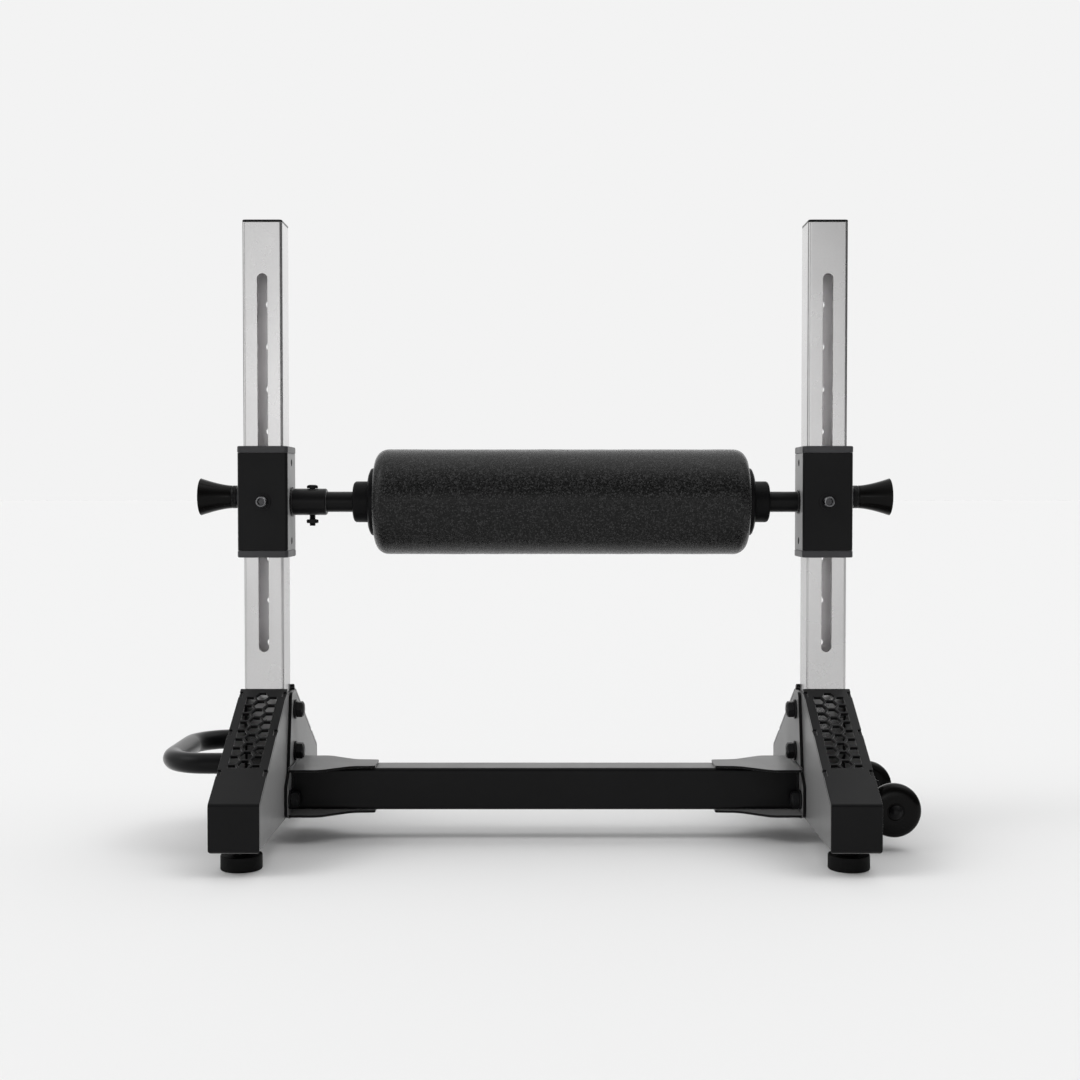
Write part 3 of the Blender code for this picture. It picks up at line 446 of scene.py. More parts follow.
def cut_plate(name: str, corners: Sequence[tuple[Vector, float]], thickness: Vector) -> Piece:
    """Model a flat plate: an outline filled, its corners rounded, then extruded.

    Args:
        name: Name of the new piece.
        corners: (place, radius) of each corner in order.
        thickness: The way and distance that the face is extruded.

    Returns:
        The new closed object.
    """
    plate = traced(name, [place for place, _ in corners], closed=True)
    with editing(plate, "VERT"):
        everything()
        bpy.ops.mesh.edge_face_add()
        for index, (place, radius) in enumerate(corners):
            if radius <= 0:
                continue
            back = corners[index - 1][0] - place
            ahead = corners[(index + 1) % len(corners)][0] - place
            offset = radius / math.tan(back.angle(ahead) / 2)
            pick(plate, "VERT", lambda v, p=place: (v.co - p).length < 1e-6)
            bpy.ops.mesh.bevel(affect="VERTICES", offset=offset, segments=8)
        pick(plate, "FACE", lambda f: True)
        pull(thickness)
        closed_up(False)
    return plate


def refined(node: str) -> Piece:
    """Copy a solid of the frame, merged into clean faces, to be finished further."""
    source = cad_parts[node]
    copy = bpy.data.objects.new(node + "_body", source.data.copy())
    bpy.context.scene.collection.objects.link(copy)
    with editing(copy):
        everything()
        bpy.ops.mesh.remove_doubles(threshold=1e-5)
        bpy.ops.mesh.dissolve_limited(angle_limit=math.radians(1))
    return copy


def spread(points: Sequence[Vector], closed: bool, step: float) -> list[Vector]:
    """Points at even steps along a line through corners."""
    ends = list(points) + ([points[0]] if closed else [])
    spaced = []
    for start, end in zip(ends, ends[1:]):
        count = max(1, round((end - start).length / step))
        spaced += [start.lerp(end, k / count) for k in range(count)]
    return spaced if closed else spaced + [ends[-1]]


def weld(name: str, points: Sequence[Vector], radius: float, closed: bool) -> Piece:
    """Lay a rippled weld bead along a line.

    Args:
        name: Name of the new piece.
        points: Corners of the line.
        radius: Radius of the bead.
        closed: Whether the line returns to its start.

    Returns:
        The bead as a mesh.
    """
    line = traced(name, spread(points, closed, 0.0011), closed)
    only(line)
    bpy.ops.object.convert(target="CURVE")
    bead = bpy.context.object
    bead.data.bevel_depth = radius
    bead.data.bevel_resolution = 2
    for index, point in enumerate(bead.data.splines[0].points):
        point.radius = (1.0, 1.16, 1.05, 0.86)[index % 4]
    bpy.ops.object.convert(target="MESH")
    return settle(bpy.context.object, name)


def circle_points(
    direction: Vector, centre: Vector, radius: float, count: int = 24
) -> list[Vector]:
    """Points round a circle that stands across a direction."""
    side = direction.orthogonal().normalized()
    turn = 2 * math.pi / count
    return [centre + Quaternion(direction, turn * k) @ side * radius for k in range(count)]


def eased(points: Profile, steps: int = 5) -> list[Span]:
    """Smooth curve through the points of a profile."""
    ends = [points[0], *points, points[-1]]
    curve = []
    for a, b, c, d in zip(ends, ends[1:], ends[2:], ends[3:]):
        for k in range(steps):
            t = k / steps
            curve.append(
                tuple(
                    0.5
                    * (
                        2 * b[i]
                        + (c[i] - a[i]) * t
                        + (2 * a[i] - 5 * b[i] + 4 * c[i] - d[i]) * t * t
                        + (3 * b[i] - a[i] - 3 * c[i] + d[i]) * t**3
                    )
                    for i in range(2)
                )
            )
    return curve + [points[-1]]


def thread(start: float, end: float, radius: float, pitch: float) -> list[Span]:
    """Profile of a screw thread, as a row of ridges."""
    sign = 1 if end > start else -1
    root = radius - 0.6 * pitch
    points = []
    for k in range(int(abs(end - start) / pitch)):
        at = start + sign * k * pitch
        crest = [(at + sign * pitch * share, radius) for share in (0.45, 0.6)]
        points += [(at, root), *crest]
    return points + [(end - sign * 0.0002, root), (end, root - 0.0004)]


def hex_head(name: str, direction: Vector, centre: Vector, flats: float, span: Span) -> Piece:
    """Model a bolt head or nut: a hexagon with both its faces chamfered.

    Args:
        name: Name of the new piece.
        direction: Axis of the bolt.
        centre: Point on the axis from which the span is measured.
        flats: Size across the flats.
        span: Start and end along the axis.

    Returns:
        The new object.
    """
    corner = flats / math.sqrt(3)
    low, high = span
    body = rod(name, direction, centre, corner, span, 6, HEX_TURN)
    face = flats * 0.475
    slope = (corner - face) * math.tan(math.radians(30))
    rings = [(low, face), (low + slope, corner), (high - slope, corner), (high, face)]
    carve(body, turned("chamfer", direction, centre, rings, 48), keep="INTERSECT")
    return body


def smoothed(obj: Piece, edge: float = 0.0, segments: int = 3) -> None:
    """Soften a piece's edges and shade it smoothly with its flat faces kept flat.

    Args:
        obj: The piece.
        edge: Width of the bevel on its sharp edges; none if zero.
        segments: Segments of that bevel.
    """
    if edge:
        modify(
            obj,
            "BEVEL",
            width=edge,
            segments=segments,
            limit_method="ANGLE",
            angle_limit=SMOOTH_ANGLE,
            use_clamp_overlap=False,
        )
    only(obj)
    bpy.ops.object.shade_smooth_by_angle(angle=SMOOTH_ANGLE)
    modify(obj, "WEIGHTED_NORMAL", keep_sharp=True)


# Material tools


class Graph:
    """Adds and joins the nodes of one node tree."""

    def __init__(self, tree: bpy.types.NodeTree) -> None:
        """Work on a tree."""
        self.tree = tree
        self.column = 0

    def add(self, kind: str, **settings) -> Node:
        """Add a node with these settings."""
        node = self.tree.nodes.new("ShaderNode" + kind)
        node.location = (-1800 + 200 * self.column, 0)
        self.column += 1
        for key, value in settings.items():
            setattr(node, key, value)
        return node

    def feed(self, node: Node, **inputs) -> Node:
        """Give a node's inputs values or links, named with _ for spaces."""
        for key, value in inputs.items():
            socket = node.inputs[key.replace("_", " ")]
            self.set(socket, value)
        return node

    def set(self, socket: Socket, value: object) -> None:
        """Give one input a value or a link."""
        if isinstance(value, Socket):
            self.tree.links.new(value, socket)
        else:
            socket.default_value = value

    def math(self, operation: str, *values: object) -> Socket:
        """Add a Math node."""
        node = self.add("Math", operation=operation)
        for socket, value in zip(node.inputs, values):
            self.set(socket, value)
        return node.outputs[0]

    def between(self, value: Socket, *limits: float) -> Socket:
        """Map a value from one range to another, smoothly at its ends."""
        node = self.add("MapRange", interpolation_type="SMOOTHSTEP")
        for socket, limit in zip(node.inputs, (value, *limits)):
            self.set(socket, limit)
        return node.outputs[0]

    def mix(self, factor: object, first: object, second: object, blend: str = "MIX") -> Socket:
        """Mix two colours."""
        node = self.add("Mix", data_type="RGBA", blend_type=blend)
        for index, value in ((0, factor), (6, first), (7, second)):
            if isinstance(value, tuple) and len(value) == 3:
                value = (*value, 1.0)
            self.set(node.inputs[index], value)
        return node.outputs[2]

    def noise(self, vector: object, scale: object, detail: float = 2.0) -> Socket:
        """Add a noise texture."""
        node = self.add("TexNoise")
        self.feed(node, Vector=vector, Scale=scale, Detail=detail)
        return node.outputs["Fac"]

    def cells(self, vector: object, scale: object, feature: str) -> Node:
        """Add a texture of random cells."""
        node = self.add("TexVoronoi", feature=feature)
        return self.feed(node, Vector=vector, Scale=scale)

    def group(self, effect: "Effect", **inputs) -> Node:
        """Place a shared effect."""
        node = self.add("Group", node_tree=effect.tree())
        return self.feed(node, **inputs)


@dataclass(frozen=True)
class Effect:
    """A surface effect that several finishes share, as a node group.

    Attributes:
        name: Name of the group.
        inputs: Names and starting values of its number inputs.
        outputs: Names of its number outputs.
        draw: Adds the nodes, and returns the sockets of the outputs.
    """

    name: str
    inputs: tuple[tuple[str, float], ...]
    outputs: tuple[str, ...]
    draw: Callable[[Graph, Sockets], tuple]

    def tree(self) -> bpy.types.NodeTree:
        """Node group of this effect, built once."""
        if self.name in bpy.data.node_groups:
            return bpy.data.node_groups[self.name]
        tree = bpy.data.node_groups.new(self.name, "ShaderNodeTree")
        face = tree.interface
        face.new_socket("Vector", in_out="INPUT", socket_type="NodeSocketVector")
        for name, value in self.inputs:
            socket = face.new_socket(name, in_out="INPUT", socket_type="NodeSocketFloat")
            socket.default_value = value
        for name in self.outputs:
            face.new_socket(name, in_out="OUTPUT", socket_type="NodeSocketFloat")
        graph = Graph(tree)
        start = tree.nodes.new("NodeGroupInput")
        start.location = (-2000, 0)
        end = tree.nodes.new("NodeGroupOutput")
        for socket, value in zip(end.inputs, self.draw(graph, start.outputs)):
            tree.links.new(value, socket)
        end.location = (-1800 + 200 * graph.column, 0)
        return tree


def draw_drift(graph: Graph, inputs: Sockets) -> tuple:
    """Slow change of a value over the surface."""
    scale = graph.math("DIVIDE", 1.0, inputs["Size"])
    cloud = graph.noise(inputs["Vector"], scale, 4.0)
    share = graph.between(cloud, 0.3, 0.7, 0.0, 1.0)
    step = graph.math("SUBTRACT", inputs["High"], inputs["Low"])
    return (graph.math("MULTIPLY_ADD", share, step, inputs["Low"]),)


def draw_peel(graph: Graph, inputs: Sockets) -> tuple:
    """Fine dimples of a baked powder coat, as on the skin of an orange."""
    scale = graph.math("DIVIDE", 1.0, inputs["Size"])
    coarse = graph.noise(inputs["Vector"], scale, 1.0)
    finer = graph.math("MULTIPLY", scale, 3.1)
    fine = graph.noise(inputs["Vector"], finer, 0.0)
    return (graph.math("MULTIPLY_ADD", fine, 0.35, coarse),)


def draw_flake(graph: Graph, inputs: Sockets) -> tuple:
    """Metal flakes in a coat: each cell is a little lighter or darker than the next."""
    scale = graph.math("DIVIDE", 1.0, inputs["Size"])
    cell = graph.cells(inputs["Vector"], scale, "F1")
    tone = graph.math("SUBTRACT", cell.outputs["Color"], 0.5)
    cloud = graph.noise(inputs["Vector"], graph.math("MULTIPLY", scale, 0.45), 1.0)
    drift = graph.math("MULTIPLY", graph.math("SUBTRACT", cloud, 0.5), 1.4)
    both = graph.math("ADD", tone, drift)
    shade = graph.math("MULTIPLY_ADD", both, inputs["Amount"], 1.0)
    return (shade,)


def draw_beads(graph: Graph, inputs: Sockets) -> tuple:
    """Skin of moulded bead foam: pressed cells of mixed tone with fine seams."""
    scale = graph.math("DIVIDE", 1.0, inputs["Cell"])
    warp = graph.add("TexNoise")
    graph.feed(warp, Vector=inputs["Vector"], Scale=graph.math("MULTIPLY", scale, 0.6))
    push = graph.add("VectorMath", operation="MULTIPLY_ADD")
    graph.set(push.inputs[0], warp.outputs["Color"])
    push.inputs[1].default_value = (0.0014, 0.0014, 0.0014)
    graph.set(push.inputs[2], inputs["Vector"])
    bead = graph.cells(push.outputs[0], scale, "F1")
    border = graph.cells(push.outputs[0], scale, "DISTANCE_TO_EDGE")
    seam = graph.between(border.outputs["Distance"], 0.02, 0.16, 0.0, 1.0)
    grit = graph.noise(inputs["Vector"], graph.math("MULTIPLY", scale, 2.6), 2.0)
    tone = graph.math("MULTIPLY_ADD", grit, 0.5, bead.outputs["Color"])
    height = graph.math("MULTIPLY_ADD", grit, 0.3, seam)
    return graph.math("MULTIPLY", tone, 0.67), seam, height


def draw_rub(graph: Graph, inputs: Sockets) -> tuple:
    """Faint streaks and spots where the surface has been handled."""
    stretch = graph.add("Mapping")
    graph.feed(stretch, Vector=inputs["Vector"], Scale=(1.0, 1.0, 0.22))
    scale = graph.math("DIVIDE", 1.0, inputs["Size"])
    streak = graph.noise(stretch.outputs[0], scale, 6.0)
    spots = graph.noise(inputs["Vector"], graph.math("MULTIPLY", scale, 7.0), 3.0)
    marks = graph.math("MULTIPLY_ADD", spots, 0.35, streak)
    return (graph.between(marks, 0.62, 0.86, 0.0, 1.0),)


DRIFT = Effect("slow_drift", (("Size", 0.1), ("Low", 0.0), ("High", 1.0)), ("Value",), draw_drift)
PEEL = Effect("powder_skin", (("Size", 0.001),), ("Height",), draw_peel)
FLAKE = Effect("coat_flake", (("Size", 0.0007), ("Amount", 0.1)), ("Shade",), draw_flake)
BEADS = Effect("foam_beads", (("Cell", 0.0026),), ("Tone", "Seam", "Height"), draw_beads)
RUB = Effect("handling_marks", (("Size", 0.04),), ("Mask",), draw_rub)


@dataclass(frozen=True)
class Finish:
    """A finish with a drifting colour and roughness, marks and a fine skin.

    Attributes:
        name: Name of the material.
        slot: The record's material slot; not used.
        dark: Darkest base colour.
        light: Lightest base colour.
        rough: Lowest and highest roughness.
        metallic: Metallic share.
        specular: Strength of the plain reflection.
        skin: Size of the skin's dimples.
        depth: Height of the skin's dimples.
        rub: How much rougher the handling marks are.
        haze: How much the finish lightens where it is seen edge on.
    """

    name: str
    slot: str
    dark: Colour
    light: Colour
    rough: Span
    metallic: float = 0.0
    specular: float = 0.5
    skin: float = 0.001
    depth: float = 0.00002
    rub: float = 0.06
    haze: float = 0.0

    def material(self) -> bpy.types.Material:
        """Material of this finish, built once."""
        if self.name in bpy.data.materials:
            return bpy.data.materials[self.name]
        material = bpy.data.materials.new(self.name)
        material.use_nodes = True
        material.diffuse_color = (*self.light, 1.0)
        graph = Graph(material.node_tree)
        shader = material.node_tree.nodes["Principled BSDF"]
        shader.inputs["Metallic"].default_value = self.metallic
        shader.inputs["Specular IOR Level"].default_value = self.specular
        shader.inputs["Sheen Weight"].default_value = self.haze
        shader.inputs["Sheen Roughness"].default_value = 0.35
        place = graph.add("TexCoord").outputs["Object"]
        self.draw(graph, shader, place)
        shader.location = (-1600 + 200 * graph.column, 0)
        material.node_tree.nodes["Material Output"].location = (-1300 + 200 * graph.column, 0)
        return material

    def draw(self, graph: Graph, shader: Node, place: Socket) -> None:
        """Add this finish's nodes.

        Args:
            graph: The material's nodes.
            shader: The shader that they feed.
            place: Object coordinates.
        """
        tone = graph.group(DRIFT, Vector=place, Size=0.09).outputs[0]
        self.colour(graph, shader, graph.mix(tone, self.dark, self.light), place)
        self.surface(graph, shader, place)
        height = graph.group(PEEL, Vector=place, Size=self.skin).outputs[0]
        self.bump(graph, shader, height)

    def colour(self, graph: Graph, shader: Node, tone: Socket, place: Socket) -> None:
        """Feed the base colour."""
        graph.set(shader.inputs["Base Color"], tone)

    def surface(self, graph: Graph, shader: Node, place: Socket) -> None:
        """Feed the roughness from a slow drift and the handling marks."""
        low, high = self.rough
        slow = graph.group(DRIFT, Vector=place, Size=0.05, Low=low, High=high).outputs[0]
        marks = graph.group(RUB, Vector=place).outputs[0]
        graph.set(shader.inputs["Roughness"], graph.math("MULTIPLY_ADD", marks, self.rub, slow))

    def bump(self, graph: Graph, shader: Node, height: Socket) -> None:
        """Feed the normal from a height."""
        node = graph.add("Bump")
        graph.feed(node, Strength=1.0, Distance=self.depth, Height=height)
        graph.set(shader.inputs["Normal"], node.outputs[0])


@dataclass(frozen=True)
class FlakeCoat(Finish):
    """A metallic coat with visible flakes.

    Attributes:
        flake: Size of a flake.
        contrast: How much the flakes differ in tone.
    """

    flake: float = 0.0008
    contrast: float = 0.10

    def colour(self, graph: Graph, shader: Node, tone: Socket, place: Socket) -> None:
        """Feed the base colour, broken up by the flakes."""
        flakes = graph.group(FLAKE, Vector=place, Size=self.flake, Amount=self.contrast)
        graph.set(shader.inputs["Base Color"], graph.mix(1.0, tone, flakes.outputs[0], "MULTIPLY"))


@dataclass(frozen=True)
class BeadFoam(Finish):
    """Moulded bead foam with a pressed skin.

    Attributes:
        cell: Size of a bead.
        seam: Colour of the seams between beads.
    """

    cell: float = 0.0018
    seam: Colour = (0.004, 0.004, 0.004)

    def draw(self, graph: Graph, shader: Node, place: Socket) -> None:
        """Add the beads' tones, seams and height."""
        beads = graph.group(BEADS, Vector=place, Cell=self.cell)
        tone, seam, height = beads.outputs
        speck = graph.between(tone, 0.40, 0.80, 0.0, 1.0)
        colour = graph.mix(speck, self.dark, self.light)
        graph.set(shader.inputs["Base Color"], graph.mix(seam, self.seam, colour))
        graph.set(shader.inputs["Roughness"], graph.between(tone, 0.2, 0.8, *self.rough))
        self.bump(graph, shader, height)


SILVER_COAT = FlakeCoat(
    "silver_metallic_coat", "silver_coat", (0.50, 0.496, 0.496), (0.53, 0.526, 0.526),
    (0.27, 0.282),
    metallic=1.0,
    skin=0.0012,
    depth=0.000002,
    rub=0.0,
    contrast=0.06,
)
BLACK_COAT = Finish(
    "black_powder_coat", "black_coat", (0.0026, 0.0026, 0.0029), (0.0040, 0.0040, 0.0044),
    (0.32, 0.36),
    specular=0.112,
    skin=0.0011,
    depth=0.000015,
    rub=0.02,
    haze=0.62,
)
DARK_STEEL = FlakeCoat(
    "black_zinc_steel", "dark_steel", (0.016, 0.016, 0.0176), (0.027, 0.027, 0.0295), (0.24, 0.34),
    metallic=0.5,
    specular=0.16,
    skin=0.0006,
    depth=0.000006,
)
BLACK_OXIDE = Finish(
    "black_oxide_steel", "dark_steel", (0.003, 0.003, 0.0033), (0.006, 0.006, 0.0065), (0.28, 0.38),
    specular=0.13,
    skin=0.0006,
    depth=0.000008,
)
FRAME_OXIDE = Finish(
    "grey_oxide_steel", "dark_steel", (0.010, 0.010, 0.0105), (0.016, 0.016, 0.0168), (0.28, 0.38),
    specular=0.13,
    skin=0.0006,
    depth=0.000008,
)
SCREW_STEEL = FlakeCoat(
    "grey_screw_steel", "dark_steel", (0.042, 0.042, 0.044), (0.056, 0.056, 0.058), (0.20, 0.28),
    metallic=0.8,
    skin=0.0004,
    depth=0.000004,
)
SCREW_RIM = FlakeCoat(
    "bright_screw_rim", "dark_steel", (0.15, 0.15, 0.155), (0.18, 0.18, 0.185), (0.14, 0.20),
    metallic=1.0,
    skin=0.0004,
    depth=0.000004,
)
SPRING_WIRE = FlakeCoat(
    "spring_wire", "spring_steel", (0.42, 0.42, 0.44), (0.55, 0.55, 0.57), (0.22, 0.32),
    metallic=1.0,
    skin=0.0004,
    depth=0.000004,
)
MOULDED_PLASTIC = Finish(
    "moulded_black_plastic", "black_plastic", (0.004, 0.004, 0.0043), (0.006, 0.006, 0.0064),
    (0.26, 0.34),
    specular=0.12,
    skin=0.0005,
    depth=0.00001,
    haze=0.25,
)
LINER_PLASTIC = Finish(
    "grey_liner_plastic", "black_plastic", (0.030, 0.030, 0.032), (0.040, 0.040, 0.043),
    (0.36, 0.44),
    specular=0.3,
    skin=0.0005,
    haze=0.1,
    depth=0.00001,
)
# Near-white inner walls of the uprights: painted light, standing in for the light bounced inside
# the tubes
TUBE_INSIDE_PAINTED_LIGHT = Finish(
    "pale_tube_inside", "silver_coat", (0.97, 0.955, 0.96), (0.985, 0.97, 0.975), (0.32, 0.38),
    metallic=0.5,
    skin=0.0012,
    depth=0.00001,
)
HUB_PLASTIC = Finish(
    "matt_hub_plastic", "black_plastic", (0.0035, 0.0035, 0.0038), (0.0050, 0.0050, 0.0054),
    (0.36, 0.44),
    specular=0.08,
    skin=0.0006,
    depth=0.00001,
)
GLOSS_PLASTIC = Finish(
    "gloss_black_plastic", "gloss_plastic", (0.0030, 0.0028, 0.0027), (0.0042, 0.0039, 0.0037),
    (0.12, 0.18),
    specular=0.09,
    skin=0.006,
    depth=0.00003,
    rub=0.08,
)
RUBBER = Finish(
    "foot_rubber", "rubber", (0.0040, 0.0040, 0.0040), (0.0060, 0.0060, 0.0060), (0.50, 0.62),
    specular=0.09,
    skin=0.0004,
    depth=0.00002,
    rub=0.1,
)
FOAM = BeadFoam(
    "bead_foam", "foam", (0.0008, 0.0008, 0.0008), (0.043, 0.043, 0.0435), (0.20, 0.34),
    specular=0.20,
    depth=0.00008,
    rub=0.0,
    haze=0.14,
)


def dress(
    obj: Piece,
    body: str,
    finish: Finish,
    *nodes: str,
    edge: float = 0.0,
) -> Piece:
    """Finish a piece: soft edges, material, the body it rides on and what it replaces.

    Args:
        obj: The piece.
        body: Name of the body that carries it.
        finish: Its finish.
        nodes: Names of the solids that it stands for.
        edge: Width of the bevel on its sharp edges.

    Returns:
        The same piece.
    """
    smoothed(obj, edge)
    obj.data.materials.clear()
    obj.data.materials.append(finish.material())
    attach(obj, body)
    if nodes:
        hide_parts(*nodes)
    log.info("%s: %d faces", obj.name, len(obj.data.polygons))
    return obj


def both_sides(
    left: Piece,
    body: str,
    finish: Finish,
    node: str = "",
    edge: float = 0.0,
    plane: float = MID_X,
) -> tuple[Piece, Piece]:
    """Copy a left piece to the right side and dress both.

    Args:
        left: The left piece, named left_ and so on.
        body: Name of the body that carries it, with * for the side's name.
        finish: Finish of both.
        node: Name of the solids they stand for, without the side; none if empty.
        edge: Width of the bevel on sharp edges.
        plane: Where the plane between the two is along X.

    Returns:
        The left and the right piece.
    """
    right = mirrored(left, left.name.replace("left_", "right_"), plane=plane)
    for side, obj in zip(Side, (left, right)):
        nodes = [f"{side.value}_{node}"] if node else []
        dress(obj, body.replace("*", side.value), finish, *nodes, edge=edge)
    return left, right


def four_corners(piece: Piece, finish: Finish, node: str, edge: float = 0.0) -> None:
    """Copy the left front piece to the other three corners and dress all four.

    Args:
        piece: The left front piece, named left_front_ and so on.
        finish: Finish of all four.
        node: Name of the solids they stand for, without their place.
        edge: Width of the bevel on sharp edges.
    """
    rear = mirrored(piece, piece.name.replace("front", "rear"), ALONG_Y, 0.0)
    for place, obj in (("front", piece), ("rear", rear)):
        both_sides(obj, "frame", finish, f"{place}_{node}", edge)


# The frame


@dataclass
class Uprights:
    """The two slotted square tubes and their end caps."""

    wall: float = 0.003
    corner: float = 0.004
    slot_width: float = 0.0126
    slot_span: Span = (0.2383, 0.7129)
    pin_height: float = 0.4335
    pitch: float = 0.0542
    below: int = 3
    above: int = 5
    hole: float = 0.0056
    rear_drop: float = 0.0245
    rear_hole: float = 0.0047
    rear_shift: float = 0.0005
    bolt_heights: Span = (0.1626, 0.1095)
    bolt_hole: float = 0.0064

    def build(self) -> None:
        """Model the left upright and its cap, and copy both to the right."""
        self.tubes()
        self.caps()

    def tubes(self) -> None:
        """Tube, guide slot, pin holes, rear holes and bolt holes."""
        box = Box.of("left_upright")
        tube = square_tube("left_upright_tube", box.low, box.high, ALONG_Z, self.corner, self.wall)
        carve(tube, *self.cutters(box))
        for side, obj in zip(Side, both_sides(tube, "frame", SILVER_COAT, "upright", 0.0004)):
            self.paint_light_inside(obj, Box.of(side.value + "_upright"))

    def paint_light_inside(self, tube: Piece, box: Box) -> None:
        """Give the inner walls a near-white finish: painted light that stands in for the light
        bounced inside the tube.

        Args:
            tube: The dressed tube.
            box: Box of the solid.
        """
        # The inner walls get the near-white finish, which is painted light
        tube.data.materials.append(TUBE_INSIDE_PAINTED_LIGHT.material())
        reach = box.size.x / 2 - self.wall + 0.0002
        with editing(tube):
            pick(
                tube,
                "FACE",
                lambda f: all(
                    abs(v.co.x - box.centre.x) < reach and abs(v.co.y) < reach for v in f.verts
                ),
            )
            tube.active_material_index = 1
            bpy.ops.object.material_slot_assign()

    def cutters(self, box: Box) -> list[Piece]:
        """Shapes that are cut out of the tube."""
        x = box.centre.x
        half = self.slot_width / 2
        front = box.low.y
        slot = block(
            "slot", (x - half, front - OVERCUT, self.slot_span[0]),
            (x + half, front + self.wall + OVERCUT, self.slot_span[1]),
        )
        with editing(slot):
            pick(slot, "EDGE", lambda e: runs_along(e, ALONG_Y))
            bpy.ops.mesh.bevel(offset=half * 0.99, segments=10)
        made = [slot]
        for step in range(-self.below, self.above + 1):
            height = self.pin_height + step * self.pitch
            at = Vector((box.low.x, 0.0, height))
            span = (-OVERCUT, self.wall + OVERCUT)
            made.append(rod("pin_hole", ALONG_X, at, self.hole, span))
            at = Vector((x + self.rear_shift, box.high.y, height - self.rear_drop))
            span = (-self.wall - OVERCUT, OVERCUT)
            made.append(rod("rear_hole", ALONG_Y, at, self.rear_hole, span))
        for height in self.bolt_heights:
            at = Vector((box.low.x, 0.0, height))
            span = (-OVERCUT, box.size.x + OVERCUT)
            made.append(rod("bolt_hole", ALONG_X, at, self.bolt_hole, span))
        return made

    def caps(self) -> None:
        """Plastic caps with a hollow spigot."""
        box = Box.of("left_upright_cap")
        seat = Box.of("left_upright").high.z + GAP
        cap = block("left_cap", (box.low.x, box.low.y, seat), box.high)
        with editing(cap):
            pick(cap, "EDGE", lambda e: runs_along(e, ALONG_Z))
            bpy.ops.mesh.bevel(offset=self.corner, segments=6)
            pick(cap, "FACE", lambda f: f.normal.z > 0.9)
            bpy.ops.mesh.bevel(offset=0.0011, segments=3)
            pick(cap, "FACE", lambda f: f.normal.z < -0.9)
            bpy.ops.mesh.inset(thickness=self.wall + GAP)
            down = (0, 0, box.low.z - seat)
            pull(down)
            bpy.ops.mesh.inset(thickness=0.0025)
            up = (0, 0, seat - box.low.z - 0.0002)
            pull(up)
        both_sides(cap, "frame", MOULDED_PLASTIC, "upright_cap", 0.0002)


